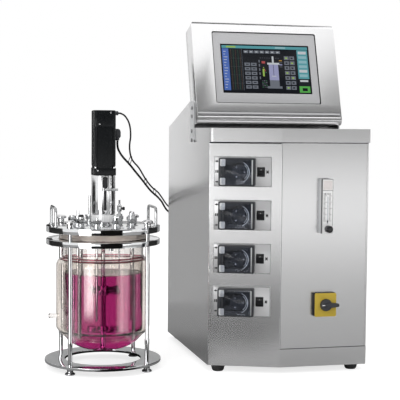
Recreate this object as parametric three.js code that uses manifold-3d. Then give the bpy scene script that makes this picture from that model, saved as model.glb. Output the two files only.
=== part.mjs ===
// Bench bioreactor: a jacketed glass culture vessel on a stand, and its stainless control cabinet.
// Millimetres, +Z up. The cabinet's front faces -Y and the vessel stands at its left.
import * as THREE from 'three';
import { mergeVertices } from 'three/addons/utils/BufferGeometryUtils.js';
import Module from 'manifold-3d';

const wasm = await Module();
wasm.setup();

// ---------------------------------------------------------------- driving sizes
const clearance = 0.3; // between pieces that touch
const bite = 1; // how far a shape reaches into what it is joined to, or a cut past a face
const sheet = 1.5; // stainless sheet of the cabinet

const cabinet = {
  width: 460,
  depth: 553, // behind the front left corner
  facetWidth: 194.5, // of the slanted left facet, seen from the front
  facetSetback: 74,
  footHeight: 19,
  footInset: 34,
  frontFootInset: 10, // of the foot behind the facet
  capBottom: 666.5,
  capHeight: 39.5,
  capOverhang: 10,
  bendRadius: 3,
  cornerRadius: 14, // at the cap's front left corner
  panelBottom: 71, // lower edge of the service panel
  panelSeam: 1.2,
  hoodFoot: 3, // height of the hood over the cap at the back
  hoodTop: 82, // height of the hood over the cap behind the console
};
const capTop = cabinet.capBottom + cabinet.capHeight;
const rubberFoot = { sole: 15, waist: 17, top: 21, edge: 2 };

const consoleBox = {
  faceFoot: 144, // behind the cabinet's front left corner
  gapOverCap: 11,
  lean: THREE.MathUtils.degToRad(17.7),
  faceLength: 332,
  thickness: 74,
  cornerRadius: 12,
  noseRadius: 14,
  heelRadius: 4,
  bezelWidth: 329,
  bezelHeight: 226,
  bezelFoot: 71, // above the lower edge of the face
  bezelThickness: 5,
  bezelRecess: 2.5,
  bezelSeam: 1.2,
  bezelCorner: 4,
  screenWidth: 284,
  screenHeight: 158,
  screenDrop: 3, // of the screen's centre below the bezel's centre
  screenSink: 0.6, // behind the bezel's face
  screenBacking: 1.2, // of the bezel behind the screen
};

// A strap reaches from below the cap's skirt up the console's side; its screws are placed from the cap's top.
const strap = {
  depth: 56,
  setback: 36, // of its front edge behind the face's foot
  underCap: 4,
  rise: 82,
  thickness: 3,
  cornerRadius: 6,
  screwRadius: 5,
  screwHead: 2,
  screwsAt: [-38, -10, 35, 60],
};

const pump = {
  count: 4,
  pitch: 124.3,
  lowestCentre: 208.6,
  plateStart: 14, // along the left facet
  plateWidth: 166,
  plateHeight: 86.5,
  plateThickness: 2,
  plateCorner: 3,
  headInset: 16.5, // from the plate's left edge
  headWidth: 104,
  headHeight: 79.5,
  headDepth: 34,
  headCorner: 4,
  rotorInset: 58.5, // from the head's left edge
  rotorRadius: 22,
  rollerRadius: 7,
  rollers: 3,
  axleRadius: 6,
  carrierThickness: 3,
  rotorSink: 4, // of the rotor's nose behind the head's face
  trackRadius: 29,
  trackDepth: 24,
  mouthInset: 17,
  clipInset: 6,
  clipWidth: 14,
  clipHeight: 18,
  clipFromEdge: 11,
  inletFromTrack: 6,
  inletLength: 24,
  inletSize: 8,
  coverWidth: 86,
  coverHeight: 70,
  coverThickness: 6,
  coverCorner: 2,
  gripWidth: 4,
  gripHeight: 28,
  gripInset: 3,
  gripRise: 2,
  hingeInset: 95.5, // from the head's left edge
  hingeRadius: 3,
  switchInset: 135.3, // from the plate's left edge
  switchWidth: 22.5,
  switchHeight: 27.7,
  switchRim: 2.6,
  switchRimHeight: 2.5,
  rockerWell: 9,
  rockerTilt: THREE.MathUtils.degToRad(7),
  rockerPivot: 2.2, // of its axis behind the rim's face
  rockerSideGap: 0.6,
  rockerEndGap: 1.2,
  lampInset: 153,
  lampRadius: 2.2,
  lampHeight: 1.2,
};
const headStart = pump.plateStart + pump.headInset;
const rotorAt = headStart + pump.rotorInset;
const hingeAt = headStart + pump.hingeInset;
const switchAt = pump.plateStart + pump.switchInset;

const flowMeter = {
  left: 309.4,
  width: 33,
  bottom: 406,
  height: 157,
  depth: 22,
  cornerRadius: 2,
  stemRadius: 6,
  stemLength: 4,
  knobRise: 14,
  knobRadius: 10,
  knobLength: 21,
  fluteRadius: 2.4,
  flutes: 6,
};

const mainSwitch = {
  left: 293.6,
  width: 64.6,
  bottom: 166,
  height: 68,
  depth: 19,
  cornerRadius: 2,
  bossRadius: 16,
  bossDepth: 11,
  leverReach: 37,
  leverTail: 4,
  leverHeight: 13,
  leverRise: 5, // over the boss
  leverCorner: 3,
};

const rearPlate = {
  left: 40,
  width: 110,
  bottom: 365,
  height: 60,
  thickness: 2,
  cornerRadius: 3,
  glandRadius: 9,
  glandLength: 20,
  glandNut: 7,
  glandNutRadius: 11,
  glandsAt: [35, 75], // from the plate's left edge
};

const vessel = {
  x: -284, // axis, from the cabinet's front left corner
  y: 141.5,
  pillarCircle: 157,
  pillarRadius: 6,
  ringOuter: 171,
  ringInner: 112,
  ringBottom: 18,
  ringThickness: 8,
  plateRadius: 166.5,
  clampBottom: 365,
  clampThickness: 15.5,
  clampScrewRadius: 7,
  clampScrewHead: 7,
  headGap: 21, // between the clamp ring and the head plate
  headThickness: 17.1,
  fittingCircle: 146, // of the clamp screws and the lifting handles
  flangeRadius: 126,
  flangeSeat: 0.6, // of the glass flange over the clamp ring
  gasket: 3,
  glassRadius: 117,
  glassWall: 4,
  neckRadius: 118,
  jacketRadius: 137.5,
  jacketWall: 3,
  jacketFoot: 117,
  jacketHeel: 12, // drop from the jacket's foot to its heel
  jacketHeelInset: 11,
  jacketTop: 300,
  weldHeight: 323,
  weldRise: 4,
  shoulderRadius: 20.5, // of the jacket where it turns in to the weld
  dishDepth: 61,
  dishRim: 110,
  liquidLevel: 280,
};
const clampTop = vessel.clampBottom + vessel.clampThickness;
const headBottom = clampTop + vessel.headGap;
const headTop = headBottom + vessel.headThickness;

// A pillar's turned steps: levelling foot, spacer sleeve and hand nut.
const stand = {
  footRadius: 14,
  footHeight: 12,
  shoulder: 3,
  sleeveBottom: 80,
  sleeveLength: 17,
  sleeveWall: 2,
  nutNeck: 4,
  nutRim: 10.5,
  nutHeight: 22.5,
};

const handle = { radius: 4, span: 116, height: 57, bend: 14, flange: 3 };
const nozzle = { radius: 6.5, bore: 4, bulb: 1.5, bulbLength: 5 };
const nozzlePlaces = { lower: { reach: 160, height: 154 }, upper: { reach: 154, height: 285 } };

const stirrer = {
  shaftRadius: 6,
  shaftBottom: 84,
  lowerCentre: 114,
  upperCentre: 229,
  impellerRadius: 38,
  hubRadius: 12,
  hubHalf: 14,
  bladeThickness: 2.5,
  discInset: 9,
  discHubHalf: 10,
  discBladeLength: 19,
  discBlades: 6,
  pitchedBlades: 3,
  bladePitch: THREE.MathUtils.degToRad(52),
  bladeRoot: 18,
  bladeWidth: 34,
  bladeShoulder: 8, // where the blade's outer edge starts to curve, inside the tip
  couplingRadius: 15,
  couplingRise: 46, // over the seal housing's collar
  couplingLength: 51,
  couplingGroove: 3,
  couplingGrooveDepth: 2,
};

const drive = {
  bossHeight: 3,
  bossWall: 6,
  collarRadius: 34,
  collarRise: 9.4, // over the head plate
  collarHeight: 23,
  floor: 8, // of the lantern over its collar
  neckRadius: 20,
  lanternRadius: 35,
  lanternWall: 5,
  lanternHeight: 114.5,
  edge: 1,
  windowWidth: 15,
  windowHeight: 36.5,
  windowLintel: 4,
  slitWidth: 8,
  barRadius: 4,
  barLength: 40,
  barDrop: 5, // below the window's sill
  motorWidth: 64,
  flangeHeight: 20.5,
  flangeOverhang: 0.6,
  flangeCorner: 5,
  bodyHeight: 120.5,
  bodyCorner: 7,
  grooveAt: 22.5,
  grooveWidth: 2,
  grooveDepth: 1.2,
  endCapHeight: 48,
  endCapEdge: 2,
  screwRadius: 3,
  screwHeight: 3,
  screwInset: 5,
};
const collarBottom = headTop + drive.collarRise;
const collarTop = collarBottom + drive.collarHeight;
const lanternTop = collarTop + drive.lanternHeight;
const flangeTop = lanternTop + drive.flangeHeight;
const bodyTop = flangeTop + drive.bodyHeight;
const endCapTop = bodyTop + drive.endCapHeight;
const motorHalf = drive.motorWidth / 2;

// Each fitting on the head plate: angle in degrees, distance from the axis, radius of what passes through.
const ports = {
  thermowell: { angle: -109, radius: 98, bore: 0 },
  exhaust: { angle: 106, radius: 98, bore: 0 },
  plugged: { angle: 150, radius: 98, bore: 0 },
  feed: { angle: 25, radius: 98, bore: 0 },
  phProbe: { angle: -139, radius: 98, bore: 6 },
  oxygenProbe: { angle: -42, radius: 98, bore: 6 },
  inoculation: { angle: -76, radius: 96, bore: 9 },
  sampling: { angle: 51, radius: 96, bore: 3 },
  sparger: { angle: -165, radius: 80, bore: 4 },
};
const ferrule = { radius: 12.5, neck: 9.5, height: 10, nut: 11 };
const ferruleTop = headTop + ferrule.height + ferrule.nut;

// Tubes fused to the head plate, their ends measured from its top.
const well = { radius: 3, depth: 268.6, capRadius: 6, capHeight: 6 };
const exhaust = { radius: 3.5, rise: 81.4, collar: 14, collarHeight: 3 };
const feed = { radius: 3, rise: 37.4 };
const plug = { radius: 9, height: 4 };

const probes = {
  ph_probe: { port: ports.phProbe, bottom: 100, head: 10, rise: 35.4, finish: 'blackPlastic' },
  oxygen_probe: { port: ports.oxygenProbe, bottom: 92, head: 11, rise: 43.4, finish: 'steel' },
};
const sampling = {
  bottom: 130,
  rise: 68.4,
  collar: 9,
  collarHeight: 5,
  valveRadius: 7,
  valveRise: 32.4, // of the valve's lower end over the head plate
  valveHeight: 20,
  knobRadius: 5.5,
  knobLength: 9,
};
const sparger = { height: 80, ring: 30, tube: 4, collar: 8, collarHeight: 8, rise: 24 };
const stopper = { sink: 4, height: 14, edge: 2 };

const endCap = {
  gland: 6.5,
  glandFlare: 1,
  glandLength: 12,
  glandDrop: 8,
  screwRadius: 2.8,
  screwAt: 16,
  screwInset: 7.5,
};
const powerPlug = { width: 16.7, depth: 22, dropTop: 5.5, height: 34, gland: 6, glandLength: 8, shoulder: 4 };
const cables = { power: 6.4, encoder: 5 };

// ---------------------------------------------------------------- helpers
const finishes = {
  steel: { color: 0xc9cacc, roughness: 0.35, metalness: 1 },
  chrome: { color: 0xdfe1e3, roughness: 0.08, metalness: 1 },
  glass: { color: 0xdfe6e2, roughness: 0.02, metalness: 0, transparent: true, opacity: 0.35 },
  medium: { color: 0xb8216d, roughness: 0.1, metalness: 0 },
  blackMetal: { color: 0x17191b, roughness: 0.45, metalness: 0.3 },
  blackPlastic: { color: 0x1b1c1f, roughness: 0.45, metalness: 0 },
  smoked: { color: 0x23262d, roughness: 0.08, metalness: 0, transparent: true, opacity: 0.5 },
  screen: { color: 0x0d1420, roughness: 0.1, metalness: 0 },
  bezel: { color: 0x8b939e, roughness: 0.4, metalness: 0.2 },
  rubber: { color: 0x161616, roughness: 0.8, metalness: 0 },
  gasket: { color: 0xd8d2c6, roughness: 0.6, metalness: 0 },
  acrylic: { color: 0xe9edf0, roughness: 0.05, metalness: 0, transparent: true, opacity: 0.4 },
  yellow: { color: 0xc7a324, roughness: 0.45, metalness: 0 },
  rotor: { color: 0x3a3d42, roughness: 0.4, metalness: 0.4 },
};

// A three.js geometry as a manifold-3d solid.
function solid(shape) {
  if (!(shape instanceof THREE.BufferGeometry)) return shape;
  const bare = shape.clone();
  bare.deleteAttribute('normal');
  bare.deleteAttribute('uv');
  const merged = mergeVertices(bare, 1e-4);
  return new wasm.Manifold(
    new wasm.Mesh({
      numProp: 3,
      vertProperties: new Float32Array(merged.attributes.position.array),
      triVerts: new Uint32Array(merged.index.array),
    }),
  );
}

// A manifold-3d solid as a three.js geometry.
function geometryOf(shape) {
  if (shape instanceof THREE.BufferGeometry) return shape;
  const { vertProperties, triVerts, numProp, numVert } = shape.getMesh();
  const positions = new Float32Array(numVert * 3);
  for (let i = 0; i < numVert; i++) {
    positions.set(vertProperties.subarray(i * numProp, i * numProp + 3), i * 3);
  }
  const geometry = new THREE.BufferGeometry();
  geometry.setAttribute('position', new THREE.BufferAttribute(positions, 3));
  geometry.setIndex(new THREE.BufferAttribute(new Uint32Array(triVerts), 1));
  const faceted = geometry.toNonIndexed();
  faceted.computeVertexNormals();
  return faceted;
}

const join = (...shapes) => shapes.flat().map(solid).reduce((a, b) => a.add(b));
const cut = (body, ...tools) => tools.flat().map(solid).reduce((a, b) => a.subtract(b), solid(body));

function piece(name, shape, finish) {
  const mesh = new THREE.Mesh(geometryOf(shape), new THREE.MeshStandardMaterial(finishes[finish]));
  mesh.name = name;
  return mesh;
}

// A box between two corners.
function block(x0, x1, y0, y1, z0, z1) {
  const box = new THREE.BoxGeometry(x1 - x0, y1 - y0, z1 - z0);
  return box.translate((x0 + x1) / 2, (y0 + y1) / 2, (z0 + z1) / 2);
}

// An upright cylinder between two heights.
function post(radius, z0, z1, x = 0, y = 0, sides = 12) {
  const cylinder = new THREE.CylinderGeometry(radius, radius, z1 - z0, sides).rotateX(Math.PI / 2);
  return cylinder.translate(x, y, (z0 + z1) / 2);
}

// A cylinder whose axis runs along Y, between two depths.
function peg(radius, y0, y1, x, z, sides = 12) {
  return new THREE.CylinderGeometry(radius, radius, y1 - y0, sides).translate(x, (y0 + y1) / 2, z);
}

// A cylinder along X between two places on it, centred on the axis.
function crossPeg(radius, from, to, sides = 10) {
  const cylinder = new THREE.CylinderGeometry(radius, radius, Math.abs(to - from), sides);
  return cylinder.rotateZ(Math.PI / 2).translate((from + to) / 2, 0, 0);
}

// A solid of revolution about Z from [radius, height] points, listed up the outside and back down inside.
function turned(profile, sides = 24) {
  const points = [...profile, profile[0]].map(([r, z]) => new THREE.Vector2(r, z));
  return new THREE.LatheGeometry(points, sides).rotateX(Math.PI / 2);
}

// Points of a circular or elliptical stretch of a profile, angles in degrees.
function arc(cx, cz, rx, rz, from, to, steps) {
  return Array.from({ length: steps + 1 }, (_, i) => {
    const angle = THREE.MathUtils.degToRad(from + ((to - from) * i) / steps);
    return [cx + rx * Math.cos(angle), cz + rz * Math.sin(angle)];
  });
}

// A closed outline through [x, y, radius] corners, each rounded to its radius.
function rounded(corners, steps = 3) {
  const outline = [];
  corners.forEach(([x, y, radius = 0], i) => {
    const here = new THREE.Vector2(x, y);
    if (radius === 0) {
      outline.push(here);
      return;
    }
    const [px, py] = corners[(i + corners.length - 1) % corners.length];
    const [nx, ny] = corners[(i + 1) % corners.length];
    const back = new THREE.Vector2(px, py).sub(here).normalize();
    const ahead = new THREE.Vector2(nx, ny).sub(here).normalize();
    const half = Math.acos(back.dot(ahead)) / 2;
    const middle = back.clone().add(ahead).normalize();
    const centre = here.clone().addScaledVector(middle, radius / Math.sin(half));
    const start = back.clone().multiplyScalar(radius / Math.tan(half)).add(here).sub(centre);
    const end = ahead.clone().multiplyScalar(radius / Math.tan(half)).add(here).sub(centre);
    const sweep = Math.atan2(start.cross(end), start.dot(end));
    for (let s = 0; s <= steps; s++) {
      outline.push(start.clone().rotateAround(new THREE.Vector2(), (sweep * s) / steps).add(centre));
    }
  });
  return new THREE.Shape(outline);
}

function rectangle(x0, x1, y0, y1, radius = 0, steps = 2) {
  return rounded([[x0, y0, radius], [x1, y0, radius], [x1, y1, radius], [x0, y1, radius]], steps);
}

// A level outline drawn upwards from z0 to z1.
function slab(outline, z0, z1) {
  return new THREE.ExtrudeGeometry(outline, { depth: z1 - z0, bevelEnabled: false }).translate(0, 0, z0);
}

// An outline in the X-Z plane given depth from y0 to y1.
function wallSlab(outline, y0, y1) {
  const drawn = new THREE.ExtrudeGeometry(outline, { depth: y1 - y0, bevelEnabled: false });
  return drawn.rotateX(Math.PI / 2).translate(0, y1, 0);
}

// An outline in the Y-Z plane drawn along X from x0 to x1.
function sideSlab(outline, x0, x1) {
  const drawn = new THREE.ExtrudeGeometry(outline, { depth: x1 - x0, bevelEnabled: false });
  return drawn.rotateX(Math.PI / 2).rotateZ(Math.PI / 2).translate(x0, 0, 0);
}

// A convex outline with each edge moved outwards by its own distance.
function grown(corners, distances) {
  const edges = corners.map(([x, y], i) => {
    const [nx, ny] = corners[(i + 1) % corners.length];
    const along = new THREE.Vector2(nx - x, ny - y).normalize();
    const outward = new THREE.Vector2(along.y, -along.x);
    return { outward, reach: outward.x * x + outward.y * y + distances[i] };
  });
  return edges.map((edge, i) => {
    const before = edges[(i + edges.length - 1) % edges.length];
    const det = before.outward.cross(edge.outward);
    const x = (before.reach * edge.outward.y - edge.reach * before.outward.y) / det;
    const y = (before.outward.x * edge.reach - edge.outward.x * before.reach) / det;
    return [x, y];
  });
}

const withRadii = (corners, radii) => corners.map(([x, y], i) => [x, y, radii[i]]);

// A round cable along hand-picked points.
function cableAlong(points, diameter, steps) {
  const knots = points.map((point) => new THREE.Vector3(...point));
  const route = new THREE.CatmullRomCurve3(knots, false, 'centripetal');
  const section = new THREE.Shape();
  section.absarc(0, 0, diameter / 2, 0, 2 * Math.PI, false);
  return new THREE.ExtrudeGeometry(section, { steps, extrudePath: route, curveSegments: 4 });
}

// ---------------------------------------------------------------- cabinet
const cabinetGroup = new THREE.Group();
const front = -cabinet.facetSetback; // the true front, on the right
const planCorners = [
  [0, 0],
  [cabinet.facetWidth, front],
  [cabinet.width, front],
  [cabinet.width, cabinet.depth],
  [0, cabinet.depth],
];
const bends = planCorners.map(() => cabinet.bendRadius);

// The slanted left facet: X runs along it, -Y points out of it.
const facetFrame = new THREE.Matrix4().makeRotationZ(-Math.atan2(cabinet.facetSetback, cabinet.facetWidth));
const onFacet = (shape) => shape.applyMatrix4(facetFrame);
const pumpCentres = Array.from({ length: pump.count }, (_, i) => pump.lowestCentre + i * pump.pitch).reverse();

// The raised mounting plate of one pump, with its switch rim and status lamp.
function pumpPlate(centre) {
  const half = pump.plateHeight / 2;
  const end = pump.plateStart + pump.plateWidth;
  const face = -pump.plateThickness;
  const outline = rectangle(pump.plateStart, end, centre - half, centre + half, pump.plateCorner);
  const plate = wallSlab(outline, face, bite);
  const [w, h] = [pump.switchWidth / 2, pump.switchHeight / 2];
  const rim = wallSlab(
    rectangle(switchAt - w, switchAt + w, centre - h, centre + h, pump.plateCorner / 2, 1),
    face - pump.switchRimHeight,
    face + bite,
  );
  const lampAt = pump.plateStart + pump.lampInset;
  const lamp = peg(pump.lampRadius, face - pump.lampHeight, face + bite, lampAt, centre, 8);
  return [plate, rim, lamp].map(onFacet);
}

function rockerWell(centre) {
  const w = pump.switchWidth / 2 - pump.switchRim;
  const h = pump.switchHeight / 2 - pump.switchRim;
  const face = -pump.plateThickness - pump.switchRimHeight;
  const floor = face + pump.rockerWell;
  return onFacet(block(switchAt - w, switchAt + w, face - bite, floor, centre - h, centre + h));
}

function cabinetBody() {
  const shoulder = cabinet.capBottom - cabinet.panelSeam;
  const shell = slab(rounded(withRadii(planCorners, bends)), cabinet.footHeight, shoulder);
  const neckCorners = grown(planCorners, planCorners.map(() => -(sheet + clearance)));
  const neck = slab(rounded(withRadii(neckCorners, bends)), shoulder - bite, capTop - sheet - clearance);
  const recess = block(
    cabinet.facetWidth + cabinet.panelSeam,
    cabinet.width - 2 * cabinet.bendRadius,
    front - bite,
    front + sheet + clearance,
    cabinet.panelBottom,
    shoulder + bite,
  );
  const body = join(shell, neck, pumpCentres.flatMap(pumpPlate));
  return cut(body, recess, pumpCentres.map(rockerWell));
}

function servicePanel() {
  return block(
    cabinet.facetWidth + 2 * cabinet.panelSeam,
    cabinet.width - 2 * cabinet.bendRadius - cabinet.panelSeam,
    front,
    front + sheet,
    cabinet.panelBottom + cabinet.panelSeam,
    cabinet.capBottom - 2 * cabinet.panelSeam,
  );
}

// The folded lid with its skirt, and the hood that rises behind the console.
function topCap() {
  const { capOverhang, capBottom, cornerRadius, bendRadius } = cabinet;
  const outer = grown(planCorners, [capOverhang, capOverhang, 0, 0, 0]);
  const inner = grown(outer, outer.map(() => -sheet));
  const radii = [cornerRadius, bendRadius, bendRadius, bendRadius, bendRadius];
  const innerRadii = radii.map((r) => Math.max(r - sheet, sheet / 3));
  const lid = cut(
    slab(rounded(withRadii(outer, radii), 5), capBottom, capTop),
    slab(rounded(withRadii(inner, innerRadii), 5), capBottom - bite, capTop - sheet),
  );
  const hoodFront = (height) => consoleBack(capTop + height) + clearance;
  const hood = sideSlab(
    rounded([
      [hoodFront(0), capTop - sheet / 2],
      [cabinet.depth - sheet, capTop - sheet / 2],
      [cabinet.depth - sheet, capTop + cabinet.hoodFoot],
      [hoodFront(cabinet.hoodTop), capTop + cabinet.hoodTop],
    ]),
    0,
    cabinet.width,
  );
  return join(lid, hood);
}

function cabinetFoot(x, y) {
  const height = cabinet.footHeight - clearance;
  const { sole, waist, top, edge } = rubberFoot;
  const foot = turned([[0, 0], [sole, 0], [waist, edge], [top, height], [0, height]], 12);
  return foot.translate(x, y, 0);
}

const glandX = rearPlate.glandsAt.map((inset) => rearPlate.left + inset);
const glandFace = cabinet.depth + clearance + rearPlate.thickness + rearPlate.glandLength;
const glandHeight = rearPlate.bottom + rearPlate.height / 2;
function rearConnectorPlate() {
  const { left, width, bottom, height, thickness, cornerRadius } = rearPlate;
  const { glandRadius, glandNut, glandNutRadius } = rearPlate;
  const back = cabinet.depth + clearance;
  const face = back + thickness;
  const plate = wallSlab(rectangle(left, left + width, bottom, bottom + height, cornerRadius), back, face);
  const glands = glandX.flatMap((x) => [
    peg(glandNutRadius, face - bite, face + glandNut, x, glandHeight, 6),
    peg(glandRadius, face, glandFace, x, glandHeight, 12),
  ]);
  return join(plate, glands);
}

cabinetGroup.add(
  piece('cabinet_body', cabinetBody(), 'steel'),
  piece('service_panel', servicePanel(), 'steel'),
  piece('rear_connector_plate', rearConnectorPlate(), 'blackMetal'),
);
const footX = [cabinet.footInset, cabinet.width - cabinet.footInset];
const footPlaces = {
  front_left: [footX[0], cabinet.frontFootInset],
  front_right: [footX[1], front + cabinet.footInset],
  rear_left: [footX[0], cabinet.depth - cabinet.footInset],
  rear_right: [footX[1], cabinet.depth - cabinet.footInset],
};
for (const [place, [x, y]] of Object.entries(footPlaces)) {
  cabinetGroup.add(piece(`cabinet_foot_${place}`, cabinetFoot(x, y), 'rubber'));
}

// ---------------------------------------------------------------- console
const faceFootZ = capTop + consoleBox.gapOverCap;

// How far back the console's rear face lies at a height.
function consoleBack(z) {
  const { faceFoot, lean, thickness } = consoleBox;
  return faceFoot + (z - faceFootZ) * Math.tan(lean) + thickness / Math.cos(lean);
}

// The console's own frame: X across, Z up the sloping face, +Y into the housing.
const consoleFrame = new THREE.Matrix4()
  .makeTranslation(0, consoleBox.faceFoot, faceFootZ)
  .multiply(new THREE.Matrix4().makeRotationX(-consoleBox.lean));
const onConsole = (shape) => shape.applyMatrix4(consoleFrame);

function bezelOutline(margin) {
  const half = consoleBox.bezelWidth / 2 + margin;
  const middle = cabinet.width / 2;
  const foot = consoleBox.bezelFoot - margin;
  const top = consoleBox.bezelFoot + consoleBox.bezelHeight + margin;
  return rectangle(middle - half, middle + half, foot, top, consoleBox.bezelCorner + margin);
}

function screenOutline(margin) {
  const { bezelFoot, bezelHeight, screenWidth, screenHeight, screenDrop } = consoleBox;
  const middle = cabinet.width / 2;
  const centre = bezelFoot + bezelHeight / 2 - screenDrop;
  const [w, h] = [screenWidth / 2 + margin, screenHeight / 2 + margin];
  return rectangle(middle - w, middle + w, centre - h, centre + h);
}

function consoleHousing() {
  const { faceFoot, lean, faceLength, thickness, cornerRadius, noseRadius, heelRadius } = consoleBox;
  const topY = faceFoot + faceLength * Math.sin(lean);
  const topZ = faceFootZ + faceLength * Math.cos(lean);
  const profile = rounded(
    [
      [faceFoot, faceFootZ, noseRadius],
      [consoleBack(faceFootZ), faceFootZ, heelRadius],
      [topY + thickness * Math.cos(lean), topZ - thickness * Math.sin(lean), cornerRadius],
      [topY, topZ, cornerRadius],
    ],
    5,
  );
  const housing = sideSlab(profile, 0, cabinet.width);
  const depth = consoleBox.bezelRecess + consoleBox.bezelThickness + clearance;
  return cut(housing, onConsole(wallSlab(bezelOutline(consoleBox.bezelSeam), -bite, depth)));
}

function screenBezel() {
  const face = consoleBox.bezelRecess;
  const back = face + consoleBox.bezelThickness;
  const plate = wallSlab(bezelOutline(0), face, back);
  const window = wallSlab(screenOutline(clearance), face - bite, back - consoleBox.screenBacking);
  return cut(plate, window).transform(consoleFrame.elements);
}

function touchScreen() {
  const { bezelRecess, bezelThickness, screenSink, screenBacking } = consoleBox;
  const face = bezelRecess + screenSink;
  const back = bezelRecess + bezelThickness - screenBacking - clearance;
  return onConsole(wallSlab(screenOutline(0), face, back));
}

// A flat strap that screws to the cap's skirt and to the console's side.
function consoleStrap(side) {
  const inner = side < 0 ? -clearance : cabinet.width + clearance;
  const x = [inner, inner + side * strap.thickness].sort((a, b) => a - b);
  const start = consoleBox.faceFoot + strap.setback;
  const bottom = cabinet.capBottom - strap.underCap;
  const outline = rectangle(start, start + strap.depth, bottom, capTop + strap.rise, strap.cornerRadius);
  const plate = sideSlab(outline, x[0], x[1]);
  const headFrom = inner + side * (strap.thickness - bite);
  const headTo = inner + side * (strap.thickness + strap.screwHead);
  const heads = strap.screwsAt.map((rise) => {
    const head = crossPeg(strap.screwRadius, headFrom, headTo, 8);
    return head.translate(0, start + strap.depth / 2, capTop + rise);
  });
  return join(plate, heads);
}

cabinetGroup.add(
  piece('top_cap', topCap(), 'steel'),
  piece('console_housing', consoleHousing(), 'steel'),
  piece('screen_bezel', screenBezel(), 'bezel'),
  piece('touch_screen', touchScreen(), 'screen'),
  piece('console_strap_left', consoleStrap(-1), 'steel'),
  piece('console_strap_right', consoleStrap(1), 'steel'),
);

// ---------------------------------------------------------------- pumps
const pumpBack = -pump.plateThickness - clearance;
const pumpFace = pumpBack - pump.headDepth;
const rotorSeat = pumpFace + pump.trackDepth;

// The moulded head: a block with a horseshoe track that opens to the left, two tube clips and their inlets.
function pumpHead() {
  const { headWidth, headHeight, headCorner, trackRadius, mouthInset } = pump;
  const half = headHeight / 2;
  const outline = rectangle(headStart, headStart + headWidth, -half, half, headCorner);
  const body = wallSlab(outline, pumpFace, pumpBack);
  const track = peg(trackRadius, pumpFace - bite, rotorSeat, rotorAt, 0, 20);
  const mouth = block(headStart + mouthInset, rotorAt, pumpFace - bite, rotorSeat, -trackRadius, trackRadius);
  const clipStart = headStart + pump.clipInset;
  const clips = [-1, 1].map((side) => {
    const middle = side * (pump.coverHeight / 2 - pump.clipFromEdge);
    const [low, high] = [middle - pump.clipHeight / 2, middle + pump.clipHeight / 2];
    return block(clipStart, clipStart + pump.clipWidth, pumpFace + 2 * bite, rotorSeat + bite, low, high);
  });
  const inlets = [-1, 1].map((side) => {
    const z = side * (trackRadius - pump.inletFromTrack);
    const [low, high] = [z - pump.inletSize / 2, z + pump.inletSize / 2];
    const floor = rotorSeat - bite;
    return block(headStart - bite, headStart + pump.inletLength, floor - pump.inletSize, floor, low, high);
  });
  return cut(join(cut(body, track, mouth), clips), inlets);
}

// Rollers held between two plates.
function pumpRotor() {
  const { rotorRadius, rollerRadius, carrierThickness } = pump;
  const seat = rotorSeat - clearance;
  const nose = pumpFace + pump.rotorSink;
  const orbit = rotorRadius - rollerRadius;
  const plates = [nose, seat - carrierThickness].map((from) =>
    peg(rotorRadius, from, from + carrierThickness, 0, 0, 12),
  );
  const rollers = Array.from({ length: pump.rollers }, (_, i) => {
    const angle = (i * 2 * Math.PI) / pump.rollers;
    return peg(rollerRadius, nose + bite, seat - bite, orbit * Math.cos(angle), orbit * Math.sin(angle), 6);
  });
  const axle = peg(pump.axleRadius, nose - 2 * bite, seat, 0, 0, 6);
  return join(plates, rollers, axle).translate([rotorAt, 0, 0]);
}

// The smoked flap over the head, hinged along its right edge.
const coverBack = pumpFace - clearance;
const hingeDepth = coverBack - pump.coverThickness / 2;
function pumpCover() {
  const half = pump.coverHeight / 2;
  const start = hingeAt - pump.coverWidth;
  const face = coverBack - pump.coverThickness;
  const flap = wallSlab(rectangle(start, hingeAt, -half, half, pump.coverCorner), face, coverBack);
  const barrel = post(pump.hingeRadius, -half, half, hingeAt, hingeDepth, 8);
  const gripStart = start + pump.gripInset;
  const grip = block(
    gripStart,
    gripStart + pump.gripWidth,
    face - pump.gripRise,
    face + bite,
    -pump.gripHeight / 2,
    pump.gripHeight / 2,
  );
  return join(flap, barrel, grip);
}

// A rocker with a flat crest and two sloping halves, hollowed behind so that it clears its well.
const rockerSection = { crest: 5, ridge: 1.5, heel: 3.2, waist: 1.4, corner: 1 };
function pumpRocker() {
  const w = pump.switchWidth / 2 - pump.switchRim - pump.rockerSideGap;
  const h = pump.switchHeight / 2 - pump.switchRim - pump.rockerEndGap;
  const { crest, ridge, heel, waist, corner } = rockerSection;
  const pressed = [[ridge, -h], [crest, -h / 2], [crest, h / 2], [ridge, h]];
  const profile = rounded([...pressed, [-heel, h, corner], [-waist, 0], [-heel, -h, corner]], 1);
  const rocker = sideSlab(profile, -w, w).rotateX(pump.rockerTilt);
  return rocker.translate(switchAt, pump.rockerPivot - pump.plateThickness - pump.switchRimHeight, 0);
}

pumpCentres.forEach((centre, i) => {
  const raised = new THREE.Matrix4().makeTranslation(0, 0, centre);
  const place = facetFrame.clone().multiply(raised);
  const parts = {
    head: [pumpHead(), 'blackPlastic'],
    rotor: [pumpRotor(), 'rotor'],
    cover: [pumpCover(), 'smoked'],
    rocker: [pumpRocker(), 'blackPlastic'],
  };
  for (const [part, [shape, finish]] of Object.entries(parts)) {
    const mesh = piece(`pump_${i + 1}_${part}`, shape, finish);
    mesh.applyMatrix4(place);
    cabinetGroup.add(mesh);
  }
});

// ---------------------------------------------------------------- flow meter and main switch
const knobHeight = flowMeter.bottom + flowMeter.knobRise;
const knobX = flowMeter.left + flowMeter.width / 2;
const stemFace = front - clearance - flowMeter.depth - flowMeter.stemLength;
function flowMeterBody() {
  const { left, width, bottom, height, depth, cornerRadius } = flowMeter;
  const back = front - clearance;
  const outline = rectangle(left, left + width, bottom, bottom + height, cornerRadius);
  const tube = wallSlab(outline, back - depth, back);
  const stem = peg(flowMeter.stemRadius, stemFace, back - depth + bite, knobX, knobHeight);
  return join(tube, stem);
}

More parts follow.
